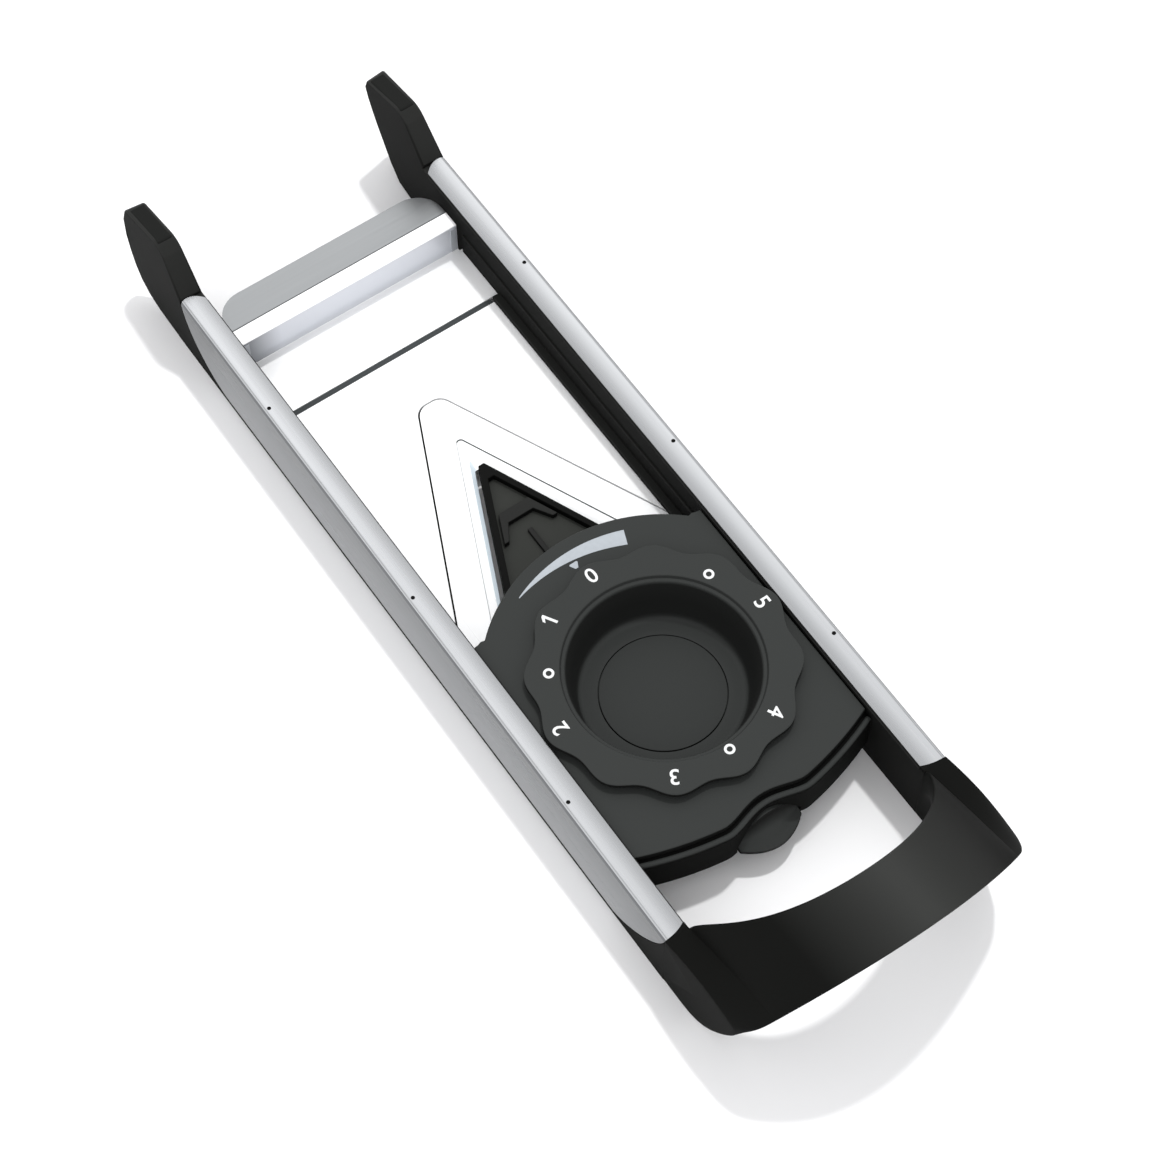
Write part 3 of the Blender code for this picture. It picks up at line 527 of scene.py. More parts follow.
def foot_outlines():
    """The side frame's outline with its foot, as (Y, Z) points: outer face, then inner face."""
    shared = [(SEAM_Y, RAIL_TOP - 1.5), (SEAM_Y, 0.0)]
    outer = [(170.8, 0.0), (179.3, 0.7), (186.0, 2.7), (190.8, 7.0), (193.7, 13.6), (195.2, 21.2),
             (196.0, 29.6), (196.5, 38.1), FOOT_TIP]
    inner = [(169.5, 0.0), (176.5, 1.6), (181.8, 8.5), (185.8, 16.5), (189.2, 23.0), (192.0, 29.0),
             (194.4, 35.0), (195.6, 40.0), (193.9, 44.6)]
    bend = [FOOT_BEND, (COVER_FAR + 1.0, RAIL_TOP), (COVER_FAR + 1.0, RAIL_TOP - 1.5)]
    radii = [0] * (len(shared) + len(outer) - 1) + [2.5, 7.0, 0, 0]
    return fillet(shared + outer + bend, radii, 5), fillet(shared + inner + bend, radii, 5)


def cover_seat(side):
    """A cutter in the shape of a cover's side face, a little larger."""
    outline = []
    low = COVER_LOW - GAP
    heights = span(RAIL_TOP + 1, low, 24)
    for height in heights:
        grown = min(RAIL_TOP, height + GAP)
        outline.append((far_end(max(grown, COVER_LOW)) + GAP, max(height, low)))
    for height in reversed(heights):
        grown = min(RAIL_TOP, height + GAP)
        outline.append((near_end(max(grown, COVER_LOW)) - GAP * 0.7, max(height, low)))
    x_low, x_high = sorted((side * (HALF_WIDTH - COVER_SKIN - 0.25), side * 60))
    return build(lambda bm: prism(bm, outline, x_low, x_high, upright=True))


def side_frame(name, side):
    outer, inner = foot_outlines()

    def fill(bm):
        prism(bm, outer, side * HALF_WIDTH, side * INNER_WALL, upright=True, inner=inner)
    made = new_object(name + "_body", build(fill), BLACK, "frame", [name])
    lean_in(made.data, side)
    weigh_edges(made.data, 28, lambda middle: 1.0 if middle.y > COVER_FAR + 2 else 0.0)
    soften(made, 2.0, 5, weighted=True)
    settle(made)
    subtract(made, cover_seat(side))
    soften(made, angle=32)
    liner(name + "_liner", side)
    cover_end_fill(name + "_end_fill", side)


def lean_in(mesh, side):
    """Thins the foot above the rail, on its outer face."""
    for vertex in mesh.vertices:
        above = max(vertex.co.z / MM - RAIL_TOP, 0.0) if side * vertex.co.x > 0.05 else 0.0
        vertex.co.x -= side * 1.5 * MM * above / 18.0


def weigh_edges(mesh, angle, weight_at):
    """Marks the sharp edges for the bevel, each with the weight for its place."""
    bm = bmesh.new()
    bm.from_mesh(mesh)
    layer = bm.edges.layers.float.new("bevel_weight_edge")
    for edge in bm.edges:
        if len(edge.link_faces) == 2 and edge.calc_face_angle() > math.radians(angle):
            edge[layer] = weight_at((edge.verts[0].co + edge.verts[1].co) / 2 / MM)
    bm.to_mesh(mesh)
    bm.free()


def cover_end_fill(name, side):
    """The black between a cover's curved near end and the handle."""
    far_x = HALF_WIDTH - 1.7
    outline = [(side * INNER_WALL, SEAM_Y)]
    for x in span(INNER_WALL, far_x, 12):
        inward = (HALF_WIDTH - x) / 9.0
        outline.append((side * x, max(COVER_NEAR + 2.2 * inward ** 2.2 - 0.25, SEAM_Y + 0.02)))
    outline.append((side * far_x, SEAM_Y))
    mesh = build(lambda bm: prism(bm, outline, RAIL_TOP - 1.9, RAIL_TOP - 0.25))
    soften(new_object(name, mesh, PITCH, "frame"), angle=30)


def liner(name, side):
    """What lines the inner wall: steps under and over the plates, their lip, and a rib at the rail."""
    def fill(bm):
        def strip(near_x, y_low, y_high, z_low, z_high):
            x_low, x_high = sorted((side * near_x, side * (INNER_WALL + 0.4)))
            box(bm, (x_low, y_low, z_low), (x_high, y_high, z_high))
        strip(END_PLATE_X + 0.4, -16.0, 131.0, 5.5, PLATE_LOW - 0.4)
        strip(END_PLATE_X + 0.4, -16.0, 131.0, PLATE_HIGH + 0.4, 20.0)
        strip(PLATE_EDGE_X + 0.2, -16.0, 106.7, PLATE_HIGH + 0.35, 12.2)
        strip(INNER_WALL - 0.35, -139.0, 153.5, 28.9, 30.6)
    soften(new_object(name, build(fill), BLACK, "frame"), 0.3, 2, 32)


def foot_pad(name, side):
    """The soft facet on the foot's upper end."""
    bend, tip = Vector(FOOT_BEND), Vector(FOOT_TIP)
    along = (tip - bend).normalized()
    across = Vector((along.y, -along.x))
    start, end = bend + along * 2.2, tip - along * 2.0
    corners = [start - across * 0.1, end - across * 0.1, end + across * 1.4, start + across * 1.4]
    x_low, x_high = sorted((side * (INNER_WALL + 0.9), side * (HALF_WIDTH - 2.2)))
    mesh = build(lambda bm: prism(bm, [tuple(c) for c in corners], x_low, x_high, upright=True))
    soften(new_object(name + "_facet", mesh, RUBBER, "frame", [name]), 0.7, 4, 32)


# --- handle ---

def handle_top(x, across):
    """Point of the handle's upper face, from its inner rim (0) to its outer rim (1)."""
    reach = min(abs(x) / INNER_WALL, 1.0)
    bow = 15.0 * reach ** 2 + 8.4 * reach ** 4 + 4.0 * reach ** 8
    inner = Vector((x, SEAM_Y - 27.4 + bow, RAIL_TOP + 37.8 * (1 - reach * reach) ** 0.64))
    outer = Vector((x, HANDLE_Y + 0.00454 * x * x, HANDLE_HIGH - 40.0 * (x / HALF_WIDTH) ** 2))
    corner = max(0.0, abs(x) - 50.0) / (HALF_WIDTH - 50.0)
    outer += Vector((0, 4.5, -2.0)) * corner ** 2.5
    shoulder = max(0.0, abs(x) - INNER_WALL) / (HALF_WIDTH - INNER_WALL)
    swell = 1.0 + 2.5 * shoulder
    return inner.lerp(outer, across) + Vector((0, 0, swell * math.sin(math.pi * across)))


def leg_floor(y):
    """Height of the legs' lower edge: flat, then sweeping up to the outer rim."""
    return 36.4 * (max(0.0, LEG_RISE_Y - y) / 24.8) ** 1.7


def band_drop(x):
    """How far the band's lower face lies under its upper one, for an even thickness."""
    reach = min(abs(x) / INNER_WALL, 0.9985)
    slope = 37.8 * 0.64 * (1 - reach * reach) ** -0.36 * 2 * reach / INNER_WALL
    return BAND_THICK * math.hypot(1.0, slope)


def handle_section(x):
    shares = [0.0, 0.03, 0.12, 0.3, 0.5, 0.7, 0.88, 0.97, 1.0]
    top = [handle_top(x, a) for a in shares]
    under = []
    for point in reversed(top):
        low = 0.0 if abs(x) > INNER_WALL else point.z - band_drop(x)
        under.append(Vector((x, point.y, min(max(low, leg_floor(point.y)), point.z - 1.5))))
    return top + under


def handle():
    band = span(0.0, 44.5, 22)[1:] + [45.6, 46.5, 47.1, INNER_WALL]
    leg = [INNER_WALL + 0.02, 48.0, 49.5, 51.5, 53.5, 55.0, 56.0, 56.35, HALF_WIDTH]
    half = band + leg
    rows = [handle_section(x) for x in [-x for x in reversed(half)] + [0.0] + half]
    mesh = build(lambda bm: grid(bm, rows, closed_columns=True, caps=True))
    crease_seam(mesh)
    soften(new_object("handle_hoop", mesh, HOOP, "frame", ["handle"]), subdivide=1)


def crease_seam(mesh):
    """Keeps the legs' end faces square, so that they meet the side frames with no groove."""
    bm = bmesh.new()
    bm.from_mesh(mesh)
    layer = bm.edges.layers.float.new("crease_edge")
    low_y, low_x = (SEAM_Y - 0.05) * MM, (INNER_WALL - 0.1) * MM
    for edge in bm.edges:
        if all(v.co.y > low_y and abs(v.co.x) > low_x for v in edge.verts):
            edge[layer] = 1.0
    bm.to_mesh(mesh)
    bm.free()


# --- plates and blade ---

def v_reaches(shape, x):
    """The Y at which a V is as wide as x."""
    tip, half, widening = shape
    return tip - (x - half) / widening


def v_line(shape, radius, end_ys):
    """A V from its right arm's end, round its blunt tip, to its left arm's end, inside the slots."""
    tip, half, widening = shape
    right = [(min(half + (tip - y) * widening, SLOT_X), y) for y in end_ys]
    corners = right + [(half, tip), (-half, tip)] + [(-x, y) for x, y in reversed(right)]
    radii = [0] * len(end_ys) + [radius, radius] + [0] * len(end_ys)
    return fillet(corners, radii, 9, closed=False)


def grown(shape, forward, sideways):
    """A V moved outwards, at its tip and at its sides."""
    tip, half, widening = shape
    return tip + forward, half + sideways, widening


def blade_plate():
    outer = grown(OUTER_V, 0.30, 0.20)
    notch = v_line(outer, 5.5, [v_reaches(outer, SLOT_X)])
    outline = [(-SLOT_X, JOINT_Y[0]), (SLOT_X, JOINT_Y[0])] + notch
    mesh = build(lambda bm: prism(bm, outline, PLATE_LOW, PLATE_HIGH))
    soften(new_object("blade_plate_sheet", mesh, STEEL, "frame", ["blade_plate"]), 0.12, 2, 50)


def v_blade():
    """The blade: flat outside, then a fine step, then ground down to its edge inside."""
    outer = grown(OUTER_V, -0.36, -0.24)
    step = grown(INNER_V, -0.42, -0.22)
    ends = [ARM_END_Y, v_reaches(outer, SLOT_X)]
    shapes = (outer, 5.4), (INNER_V, 1.6), (step, 1.5), (EDGE_V, 1.0)
    lines = [v_line(shape, radius, ends) for shape, radius in shapes]

    def fill(bm):
        rows = []
        for line_points in zip(*lines):
            out, inside, below, edge = [Vector(point) for point in line_points]
            places = [(out, PLATE_HIGH), (inside, PLATE_HIGH), (below, PLATE_HIGH - 0.3),
                      (below.lerp(edge, 0.68), PLATE_LOW + 0.55), (edge, PLATE_LOW + 0.2),
                      (edge, PLATE_LOW), (out.lerp(inside, 0.5), PLATE_LOW), (out, PLATE_LOW)]
            rows.append([(*place, height) for place, height in places])
        grid(bm, rows, closed_columns=True, caps=True)
    mesh = build(fill)
    made = new_object("v_blade_ground", mesh, BLADE_STEEL, "frame", ["v_blade"])
    # The left ground bevel gets a painted reflection, the step's line painted shade.
    for material in (LEFT_BEVEL_REFLECTION, JOINT_SHADE, FAINT_STEEL):
        mesh.materials.append(material)
    for polygon in mesh.polygons:
        polygon.material_index = blade_painted_shade_index(polygon)
    soften(made, angle=3)


def blade_painted_shade_index(polygon):
    """Bright (0), a painted blue-grey reflection on the left ground bevel (1); the step's line in
    painted shade, dark (2), or faint at left (3).
    """
    left = polygon.center.x < -0.001
    high = polygon.center.z / MM
    if not 0.15 < polygon.normal.z < 0.999:
        return 0
    if high > PLATE_HIGH - 0.2:
        return 3 if left else 2
    return 1 if left and high < PLATE_LOW + 0.5 else 0


def end_profile():
    """The end plate's upper side, as (Y, Z) points from the blade plate out to its lip."""
    corners = [(JOINT_Y[1], PLATE_HIGH), (WALL_Y, PLATE_HIGH), (WALL_Y, WALL_TOP),
               (BAND_END_Y, WALL_TOP), (LIP_END_Y, LIP_LOW)]
    return fillet(corners, [0, 0.25, 0.7, 0.0, 0], 4, closed=False)


def end_half_width(y):
    """Half the end plate's width: into the slots, then narrower, then round the lip's corners."""
    if y < WALL_Y - 1.0:
        return SLOT_X - 0.1
    past = max(0.0, y - (LIP_END_Y - LIP_CORNER)) / LIP_CORNER
    return END_PLATE_X - LIP_CORNER * (1 - math.sqrt(max(0.0, 1 - past ** 2)))


def lip_rows():
    """The lip's upper side as (Y, Z) points, close together round its corners."""
    corner = LIP_END_Y - LIP_CORNER
    ys = [BAND_END_Y + 0.45, 142.0, corner]
    ys += [corner + LIP_CORNER * math.sin(t * math.pi / 2) for t in span(0.1, 0.99, 14)]
    slope = (LIP_LOW - WALL_TOP) / (LIP_END_Y - BAND_END_Y)
    return [(y, WALL_TOP + slope * (y - BAND_END_Y)) for y in ys]


def end_plate():
    profile = end_profile()
    shoulder = [(WALL_Y - 1.1, PLATE_HIGH), (WALL_Y - 1.0, PLATE_HIGH)]
    flat = [p for p in profile if p[0] < WALL_Y - 1.1]
    step = [p for p in profile if WALL_Y - 0.85 < p[0] <= BAND_END_Y]
    places = flat + shoulder + step + lip_rows()
    rows = [[(end_half_width(y) * s, y, z) for s in span(-1, 1, 5)] for y, z in places]
    mesh = build(lambda bm: grid(bm, rows))
    face_out(mesh, 0)
    made = new_object("end_plate_sheet", mesh, STEEL, "frame", ["end_plate"])
    # The lip, the wall and the bend line take steel darkened as painted shade.
    for material in (LIP_STEEL, WALL_STEEL, JOINT_SHADE):
        mesh.materials.append(material)
    for polygon in mesh.polygons:
        polygon.material_index = end_painted_shade_index(polygon)
    skin = made.modifiers.new("sheet", "SOLIDIFY")
    skin.thickness, skin.offset = SHEET * MM, -1.0
    soften(made, 0.15, 2, 50)


def end_painted_shade_index(polygon):
    """Bright (0), the lip darkened as painted shade (1), the upright wall in painted shade (2) and a
    painted shade line at the lip's bend (3).
    """
    if polygon.center.y > (BAND_END_Y + 0.05) * MM:
        return 3 if polygon.center.y < (BAND_END_Y + 0.4) * MM else 1
    return 2 if abs(polygon.normal.y) > 0.8 else 0


def wall_tabs():
    """A narrow turned-in tab at each end of the end plate's wall."""
    for side, word in SIDES:
        x_low, x_high = sorted((side * 43.2, side * 45.6))
        low, high = (x_low, WALL_Y - 0.3, PLATE_HIGH + 0.3), (x_high, WALL_Y + 0.4, WALL_TOP - 1.2)
        mesh = build(lambda bm: box(bm, low, high))
        soften(new_object(f"{word}_wall_tab", mesh, TAB_STEEL, "frame"), 0.2, 2)


def dark_joint():
    """The shadowed filler in the joint between the two plates."""
    low = (-PLATE_EDGE_X, JOINT_Y[0] + 0.05, PLATE_LOW + 0.1)
    high = (PLATE_EDGE_X, JOINT_Y[1] - 0.05, PLATE_HIGH - 0.25)
    mesh = build(lambda bm: box(bm, low, high))
    soften(new_object("plate_joint_seal", mesh, JOINT_SHADE, "frame"), 0.1, 2)


def blade_groove():
    """The dark bottom of the groove between the blade and its plate."""
    ends = [v_reaches(OUTER_V, SLOT_X)]
    band = v_line(grown(OUTER_V, 0.6, 0.4), 5.8, ends)
    band += v_line(grown(OUTER_V, -0.6, -0.4), 5.0, ends)[::-1]
    mesh = build(lambda bm: prism(bm, band, PLATE_LOW - 0.5, PLATE_LOW - 0.1))
    soften(new_object("blade_groove_seal", mesh, PITCH, "frame"), angle=30)


def clamps():
    corners = (46.9, -18.0), (46.9, -35.0), (42.0, -35.0), (37.0, -18.0)
    for side, word in SIDES:
        outline = [(side * x, y) for x, y in corners]
        mesh = build(lambda bm: prism(bm, outline, PLATE_HIGH + GAP, 14.0))
        soften(new_object(f"{word}_clamp_block", mesh, DEEP, "frame", [f"{word}_blade_clamp"]), 0.6)


# --- ramp ---

def mirrored(right):
    """A closed outline from its right half, given from one end to the other."""
    return right + [(-x, y) for x, y in reversed(right)]


def ramp_outline(inset):
    """The ramp: a nose that fits inside the V, and a wide part back to the hinge."""
    tip, tip_half = EDGE_V[0] - 0.9 - inset, EDGE_V[1] * 0.5
    near, side_x = ARM_END_Y - 0.8 - inset, RAMP_X - inset
    half = tip_half + (tip - near) * EDGE_V[2] - 0.8
    return mirrored([(tip_half, tip), (half, near), (side_x, near - 1.5), (side_x, RAMP_NEAR_Y + inset)])


def nose_line(tip_y, near_y, inset):
    """The nose's outline between two places along it, inset from its sides."""
    return mirrored([(max((EDGE_V[0] - 0.9 - y) * EDGE_V[2] - inset, 1.2), y) for y in (tip_y, near_y)])


def ramp():
    """The sheet, bright on the food's side only, and the tray and rim of plastic that it lies on."""
    mesh = build(lambda bm: prism(bm, ramp_outline(0.0), RAMP_LOW, RAMP_HIGH))
    sheet = new_object("ramp_sheet", mesh, STEEL, "ramp", ["ramp_plate"])
    sheet.data.materials.append(PITCH)
    for polygon in sheet.data.polygons:
        polygon.material_index = 1 if polygon.normal.z > -0.5 else 0
    soften(sheet, 0.12, 2, 50)
    mesh = build(lambda bm: prism(bm, ramp_outline(0.3), CARRIER_LOW, CARRIER_LOW + 1.1))
    tray = new_object("ramp_tray", mesh, NOSE, "ramp", ["ramp_carrier"])
    cut(tray, circle(0, DIAL_Y, 41.2, 96))
    soften(tray, 0.2, 2)
    outline = nose_line(EDGE_V[0] - 1.2, -18.0, 0.1)
    mesh = build(lambda bm: prism(bm, outline, CARRIER_LOW + 0.3, 13.0))
    rim = new_object("ramp_nose_rim", mesh, PITCH, "ramp")
    cut(rim, nose_line(EDGE_V[0] - 7.5, -30.0, 2.5))
    soften(rim, 0.35, 3)
    ramp_ribs()


def ramp_ribs():
    """A bent rib and a straight one in the nose, the follower's pad, and the hinge's two blocks."""
    front, back, leg_end = 28.8, 24.0, 17.5
    bar = mirrored([(6.2, front), (11.2, leg_end), (9.2, leg_end), (5.2, back)])

    def fill(bm):
        prism(bm, bar, CARRIER_LOW + 0.8, 12.6)
        box(bm, (-1.0, -14.0, CARRIER_LOW + 0.8), (0.9, 18.5, 11.6))
        box(bm, (-5.0, DIAL_Y + FOLLOWER_R - 3.5, CARRIER_LOW), (5.0, DIAL_Y + 43, CARRIER_LOW + 1.1))
        for side, _ in SIDES:
            x_low, x_high = sorted((side * 36.0, side * 43.5))
            box(bm, (x_low, HINGE_Y - 4.2, CARRIER_LOW + 0.6), (x_high, HINGE_Y + 4.2, HINGE_Z + 4.0))
    soften(new_object("ramp_ribs", build(fill), BLACK, "ramp"), 0.3, 2)


# --- housing ---

def near_edge(out, x_half=LID_SIDE_X):
    """The housing's edge towards the handle, left to right, with the bite above the button."""
    points = []
    for x in span(-x_half, x_half, 61):
        bite = max(0.0, math.cos(min(abs(x) / NOTCH_HALF, 1.0) * math.pi / 2)) ** 1.5
        points.append((x, LID_NEAR_Y - out + x * x / (2 * LID_NEAR_R) + NOTCH_DEPTH * bite))
    return points


def far_edge(radius):
    """The housing's edge towards the blade, right to left: an arc that flares out to the frames."""
    flare = [(LID_SIDE_X, -17.6), (45.2, -17.4), (43.6, -16.9)]
    return flare + arc(0, DIAL_Y, radius, 46.5, 133.5, 41) + [(-x, y) for x, y in reversed(flare)]


def lid():
    hole = circle(0, DIAL_Y, LID_HOLE_R, 96, backwards=True)
    mesh = curve_slab([near_edge(0.0) + far_edge(LID_FAR_R), hole], LID_LOW, LID_HIGH, 0.5)
    soften(new_object("dial_cover_lid", mesh, CHARCOAL, "frame", ["dial_cover"]), angle=40)


def base():
    """The housing's wall, a shelf under the lid, and the bead along the wall's top."""
    near, far = near_edge(RIM_OUT), far_edge(LID_FAR_R - 1.2)
    mesh = build(lambda bm: prism(bm, near + far, BASE_LOW, LID_LOW - GAP))
    wall = new_object("housing_wall", mesh, PITCH, "frame", ["housing_base"])
    cut(wall, [(x * 0.95, y + 2.2) for x, y in near] + [(x * 0.95, y - 2.0) for x, y in far])
    subtract(wall, build(lambda bm: box(bm, (-50, -111.8, 0), (50, 5, 20.6))))
    opening = [opening_section(x) for x in span(-BUTTON_HALF - 0.5, BUTTON_HALF + 0.5, 27)]
    subtract(wall, build(lambda bm: grid(bm, opening, closed_columns=True, caps=True)))
    soften(wall, 0.35, 3)
    shelf = near_edge(RIM_OUT - 0.35) + near_edge(-1.5)[::-1]
    mesh = build(lambda bm: prism(bm, shelf, LID_LOW - 1.6, LID_LOW - 0.35))
    soften(new_object("housing_shelf", mesh, PITCH, "frame"), angle=30)
    line = [(x, y + 1.15, LID_LOW + 0.15) for x, y in near_edge(RIM_OUT, LID_SIDE_X - 0.2)]
    sweep("housing_bead", line, 1.05, CHARCOAL)


def opening_section(x):
    """Cross-section of the hole that the button slides in, a little larger than the button."""
    top = BASE_LOW + 2.9 + SCOOP_RISE * max(1 - (x / SCOOP_HALF) ** 2, 0)
    return [(x, -130.0, 0.0), (x, -105.0, 0.0), (x, -105.0, top), (x, -130.0, top)]


def sweep(name, points, radius, material):
    """A round bar along a line of points."""
    rows = []
    last = len(points) - 1
    for i, point in enumerate(points):
        here = Vector(point)
        ahead = Vector(points[min(i + 1, last)]) - Vector(points[max(i - 1, 0)])
        ahead.normalize()
        side = ahead.cross(Vector((0, 0, 1))).normalized()
        up = side.cross(ahead)
        rows.append([here + radius * (math.cos(a) * side + math.sin(a) * up)
                     for a in span(0, 2 * math.pi * 15 / 16, 16)])
    mesh = build(lambda bm: grid(bm, rows, closed_columns=True, caps=True))
    soften(new_object(name, mesh, material, "frame"), angle=50)


def crescent():
    """The thickness crescent on the lid, from its thick end to its thin one, and its pointer."""
    start, end = CRESCENT_ENDS
    outline = arc(0, DIAL_Y, CRESCENT_R, end, start, 41)
    for share in span(0.0, 1.0, 41):
        angle = math.radians(start + (end - start) * share)
        radius = CRESCENT_THICK_R + (CRESCENT_R - 0.3 - CRESCENT_THICK_R) * share ** 1.25
        outline.append((radius * math.cos(angle), DIAL_Y + radius * math.sin(angle)))
    lid_mark("thickness_crescent", outline)
    pointer = [(-3.0, -9.9), (0.8, -9.9), (-0.5, -12.4), (-1.6, -12.4)]
    lid_mark("dial_pointer", fillet(pointer, [0.4] * 4, 4))


def lid_mark(name, outline):
    mesh = build(lambda bm: prism(bm, outline, LID_HIGH - 0.15, LID_HIGH + MARK_HIGH))
    soften(new_object(name, mesh, CRESCENT, "frame"), 0.03, 1)


# --- dial ---

def dial_profile():
    """Half section of the dial: up its rim, over the top, and down into the recess."""
    rim_low = LID_HIGH + GAP
    points = [(37.0, LID_LOW - GAP), (37.0, rim_low), (40.9, rim_low), (42.6, rim_low + 0.4)]
    points += [(44.2, DIAL_TOP - 2.0), (RIM_R, DIAL_TOP - 1.7), (RIM_R, DIAL_TOP - 0.6)]
    points += [(RIM_R - 0.4 + 0.4 * math.cos(a), DIAL_TOP - 0.4 + 0.4 * math.sin(a))
               for a in span(0.2, math.pi / 2, 5)]
    points += [(41.5, DIAL_TOP), (39.0, DIAL_TOP), (36.3, DIAL_TOP), (35.2, DIAL_TOP)]
    points += [(35.2 - 0.5 * math.sin(a), DIAL_TOP - 0.5 * (1 - math.cos(a)))
               for a in span(0.4, 1.3, 4)]
    points += [(34.3, 31.9), (33.9, 31.75), (33.4, 31.7), (33.1, 31.4), (32.7, 30.6)]
    points += [(30.9, 22.5), (RECESS_LOW_R + 0.1, 16.8)]
    points += [(RECESS_LOW_R - 0.2 - 2.4 * (1 - math.cos(a)), 16.5 - 2.5 * math.sin(a))
               for a in span(0.25, math.pi / 2, 6)]
    points += [(24.5, RECESS_FLOOR), (CAP_R + 0.5, RECESS_FLOOR), (CAP_R + 0.3, RECESS_FLOOR - 0.15),
               (CAP_R + 0.3, RECESS_FLOOR - 1.1), (0.6, RECESS_FLOOR - 1.1)]
    return points


def revolve(bm, profile, steps):
    """Turns a profile about the dial's axis; outside UNLOBED_R its radius follows the lobes."""
    rows = []
    for i in range(steps):
        angle = 2 * math.pi * i / steps
        row = []
        for radius, z in profile:
            if radius > UNLOBED_R:
                share = (radius - UNLOBED_R) / (RIM_R - UNLOBED_R)
                radius += (LOBE_R - RIM_R + LOBE_DEPTH * math.cos(LOBES * angle)) * share
            row.append((radius * math.cos(angle), DIAL_Y + radius * math.sin(angle), z))
        rows.append(row)
    grid(bm, rows, closed_rows=True)


def dial():
    def fill(bm):
        profile = dial_profile()
        skirt = [(0.6, 12.4), (31.4, 12.4), (32.4, 23.6), (35.6, 23.6), (35.6, LID_LOW - GAP)]
        revolve(bm, profile + skirt + profile[:1], 288)
        bmesh.ops.remove_doubles(bm, verts=bm.verts, dist=1e-4)
    soften(new_object("dial_body", build(fill), CHARCOAL, "dial", ["dial"]), angle=38)
    cap()
    dial_marks()


def cap():
    def fill(bm):
        top = RECESS_FLOOR + 0.15
        low = RECESS_FLOOR - 0.8
        profile = [(0.01, top), (CAP_R - 4, top), (CAP_R - 0.4, top), (CAP_R - 0.1, top - 0.12),
                   (CAP_R, top - 0.4), (CAP_R, low), (0.01, low)]
        revolve(bm, profile, 144)
        bmesh.ops.remove_doubles(bm, verts=bm.verts, dist=0.05)
    soften(new_object("dial_cap_disc", build(fill), CHARCOAL, "dial", ["dial_cap"]), angle=38)


def dial_marks():
    """Digits and rings round the dial, each with its top outwards."""
    for text, angle in (("0", 90), ("1", 121.5), ("2", 180), ("3", 240), ("4", 300), ("5", 0)):
        digit(text, math.radians(angle))
    for number, angle in enumerate((150, 270, 30), 1):
        radians = math.radians(angle)
        x, y = RING_R * math.cos(radians), MARKS_Y + RING_R * math.sin(radians)
        splines = [circle(x, y, 1.9, 32), circle(x, y, 1.0, 32, backwards=True)]
        mesh = curve_slab(splines, DIAL_TOP - 0.1, DIAL_TOP + MARK_HIGH, 0.02)
        soften(new_object(f"half_step_ring_{number}", mesh, WHITE, "dial"), angle=40)


def digit(text, angle):
    if text == "1":
        bar = [(0.5, -2.9), (0.5, 2.9), (-0.4, 2.9), (-1.9, 1.7), (-1.9, 0.7), (-0.45, 1.6),
               (-0.45, -2.9)]
        mesh = build(lambda bm: prism(bm, bar, -0.08, 0.08))
    else:
        mesh = font_digit(text)
    centre_on_origin(mesh)
    place = Vector((DIGIT_R * math.cos(angle), MARKS_Y + DIGIT_R * math.sin(angle), DIAL_TOP)) * MM
    mesh.transform(Matrix.Translation(place) @ Matrix.Rotation(angle - math.pi / 2, 4, "Z"))
    soften(new_object(f"dial_digit_{text}", mesh, WHITE, "dial"), angle=30)


def font_digit(text):
    curve = bpy.data.curves.new("digit", "FONT")
    curve.body = text
    curve.size = 7.9 * MM
    curve.extrude = 0.08 * MM
    curve.offset = 0.00008
    curve.align_x, curve.align_y = "CENTER", "CENTER"
    curve.resolution_u = 8
    holder = bpy.data.objects.new("digit", curve)
    bpy.context.scene.collection.objects.link(holder)
    graph = bpy.context.evaluated_depsgraph_get()
    mesh = bpy.data.meshes.new_from_object(holder.evaluated_get(graph))
    bpy.data.objects.remove(holder, do_unlink=True)
    mesh.materials.clear()
    return mesh


def centre_on_origin(mesh):
    xs, ys = [v.co.x for v in mesh.vertices], [v.co.y for v in mesh.vertices]
    middle = Vector(((min(xs) + max(xs)) / 2, (min(ys) + max(ys)) / 2, 0))
    mesh.transform(Matrix.Translation(-middle))


# --- release button ---

def button_section(x):
    """Cross-section of the button: a shelf at the bottom that scoops up into the wall."""
    share = max(1 - (x / SCOOP_HALF) ** 2, 0)
    wall = BUTTON_Y + 1.6
    lip_y = BUTTON_Y - 0.3 - BUTTON_OUT * share
    shelf, top = BASE_LOW + 2.2, BASE_LOW + 2.4 + SCOOP_RISE * share
    lip = [(0.4, 0.0), (0.0, 0.4), (-0.3, 1.2), (-0.1, 1.9), (0.2, 2.2)]
    ring = [(x, wall + 1.9, BASE_LOW)] + [(x, lip_y + y, BASE_LOW + z) for y, z in lip]
    for angle in span(0.12 * math.pi / 2, math.pi / 2, 10):
        ring.append((x, lip_y + (wall - lip_y) * math.sin(angle), top - (top - shelf) * math.cos(angle)))
    return ring + [(x, wall + 1.9, top)]


def button():
    rows = [button_section(x) for x in span(-BUTTON_HALF, BUTTON_HALF, 33)]
    mesh = build(lambda bm: grid(bm, rows, closed_columns=True, caps=True))
    made = new_object("release_button_scoop", mesh, CHARCOAL, "release_button", ["release_button"])
    soften(made, angle=35)


# --- what stays from the CAD ---

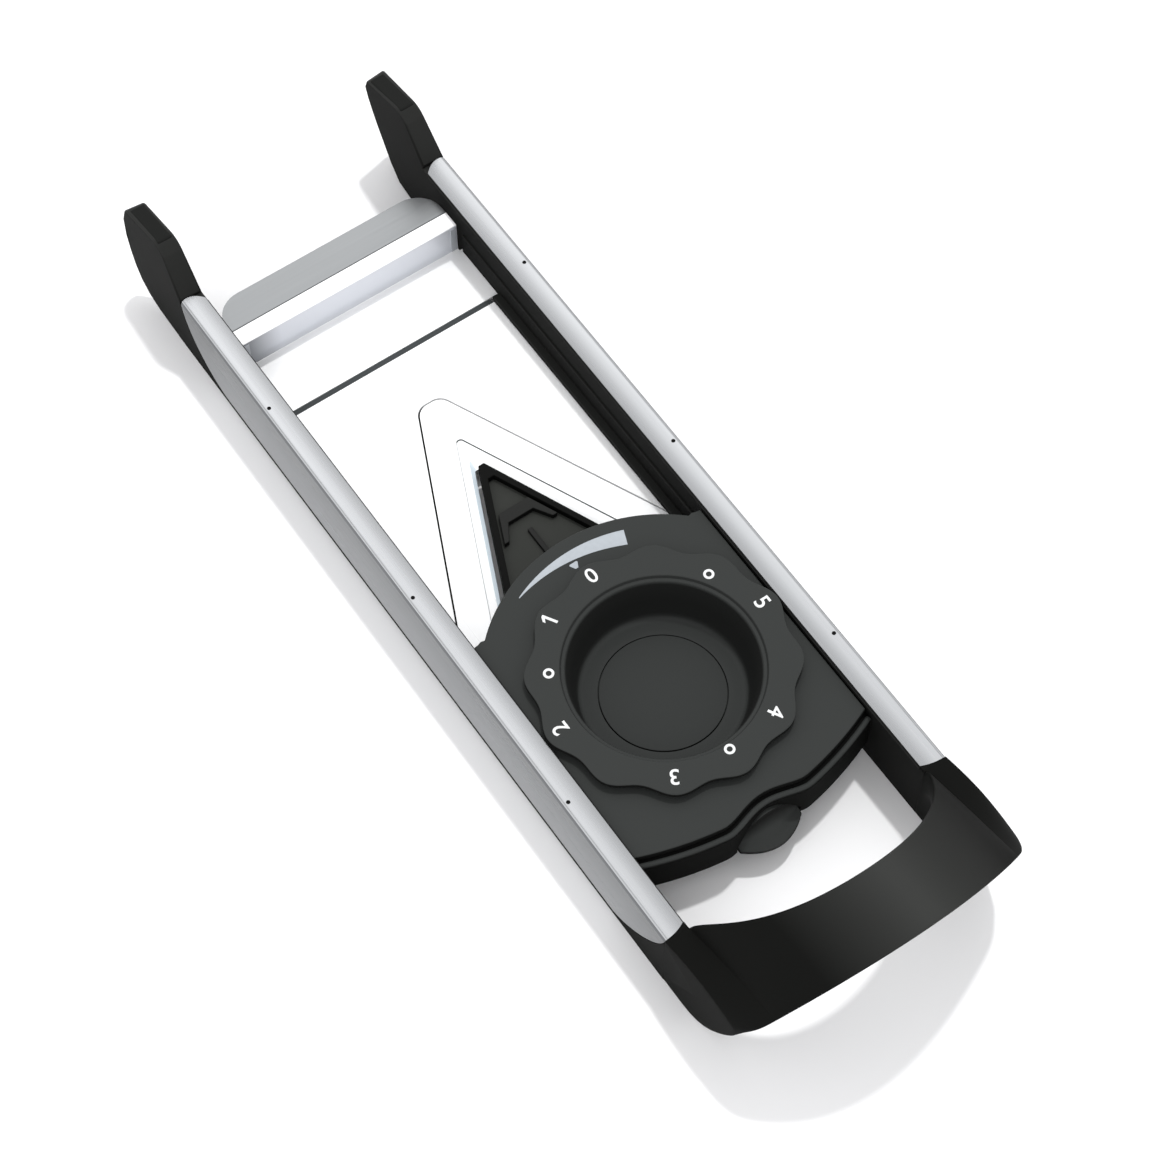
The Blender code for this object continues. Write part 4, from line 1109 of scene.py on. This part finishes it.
def paint_kept():
    paired = "blade_screw", "far_housing_screw", "near_housing_screw", "hinge_pin", "lift_spring"
    steel = [f"{word}_{name}" for _, word in SIDES for name in paired]
    steel += ["detent_spring", "release_spring", "retaining_ring", "cam_follower"]
    for look, names in ((SMALL_STEEL, steel), (DEEP, ["cam_ring", "spring_rest"])):
        for name in names:
            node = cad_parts[name]
            node.data.materials.clear()
            node.data.materials.append(look)


def springs_fold():
    """Gives each spring a mesh of its own."""
    for side, word in SIDES:
        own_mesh(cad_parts[f"{word}_lift_spring"])
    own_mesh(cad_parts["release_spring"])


# --- stage ---

def floor():
    mesh = bpy.data.meshes.new("floor")
    bm = bmesh.new()
    bmesh.ops.create_grid(bm, x_segments=1, y_segments=1, size=3.0)
    bm.to_mesh(mesh)
    bm.free()
    look = Look("floor", 0.9, specular=0.1)
    look.set("Base Color", look.ramp(look.noise(2), (0.90, 0.90, 0.905), (0.91, 0.91, 0.912)))
    mesh.materials.append(look.material)
    made = bpy.data.objects.new("floor", mesh)
    made.location.z = -0.0003
    bpy.context.scene.collection.objects.link(made)


def light():
    """An all-round studio with a long bright box overhead, and one soft key that casts the shadows."""
    scene = bpy.context.scene
    world = bpy.data.worlds.new("studio")
    scene.world = world
    world.use_nodes = True
    tree = world.node_tree
    back = tree.nodes["Background"]
    place = tree.nodes.new("ShaderNodeTexCoord")
    away = tree.nodes.new("ShaderNodeVectorMath")
    away.operation = "SUBTRACT"
    away.inputs[1].default_value = (0.27, 0.56, 0.80)       # the direction of the box's middle
    long_box = tree.nodes.new("ShaderNodeVectorMath")
    long_box.operation = "MULTIPLY"
    long_box.inputs[1].default_value = (1.0, 0.55, 0.25)    # how fast it fades along each axis
    distance = tree.nodes.new("ShaderNodeVectorMath")
    distance.operation = "LENGTH"
    ramp = tree.nodes.new("ShaderNodeValToRGB")
    tree.links.new(place.outputs["Generated"], away.inputs[0])
    tree.links.new(away.outputs["Vector"], long_box.inputs[0])
    tree.links.new(long_box.outputs["Vector"], distance.inputs[0])
    tree.links.new(distance.outputs["Value"], ramp.inputs["Fac"])
    tree.links.new(ramp.outputs["Color"], back.inputs["Color"])
    stops = [(0.02, 1.0), (0.14, 0.78), (0.30, 0.52), (0.42, 0.42), (0.52, 0.36), (0.62, 0.55),
             (0.80, 0.66)]
    while len(ramp.color_ramp.elements) < len(stops):
        ramp.color_ramp.elements.new(0.5)
    for element, (position, grey) in zip(ramp.color_ramp.elements, stops):
        element.position = position
        element.color = (grey, grey, grey * 1.01, 1)
    back.inputs["Strength"].default_value = 1.95
    sun = bpy.data.lights.new("key", "SUN")
    sun.energy = 1.5
    sun.angle = math.radians(3)
    holder = bpy.data.objects.new("key", sun)
    scene.collection.objects.link(holder)
    towards = Vector((0.29, 0.20, 1.0))
    holder.rotation_mode = "QUATERNION"
    holder.rotation_quaternion = towards.to_track_quat("Z", "Y")
    holder.visible_glossy = False
    scene.view_settings.view_transform = "Standard"


def camera():
    lens = bpy.data.cameras.new("camera")
    lens.lens, lens.sensor_width = 89.45, 36.0
    lens.clip_start, lens.clip_end = 0.05, 20.0
    holder = bpy.data.objects.new("camera", lens)
    bpy.context.scene.collection.objects.link(holder)
    holder.location = (-0.26565, -0.40855, 0.88590)
    holder.rotation_euler = [math.radians(a) for a in (28.8305, 0.4943, -34.7487)]
    bpy.context.scene.camera = holder


camera()
light()
floor()
for SIDE, WORD in SIDES:
    side_frame(f"{WORD}_side_frame", SIDE)
    rail_cover(f"{WORD}_rail_cover", SIDE)
    foot_pad(f"{WORD}_foot_pad", SIDE)
handle()
blade_plate()
v_blade()
end_plate()
wall_tabs()
dark_joint()
blade_groove()
clamps()
ramp()
lid()
base()
crescent()
dial()
button()
paint_kept()
springs_fold()
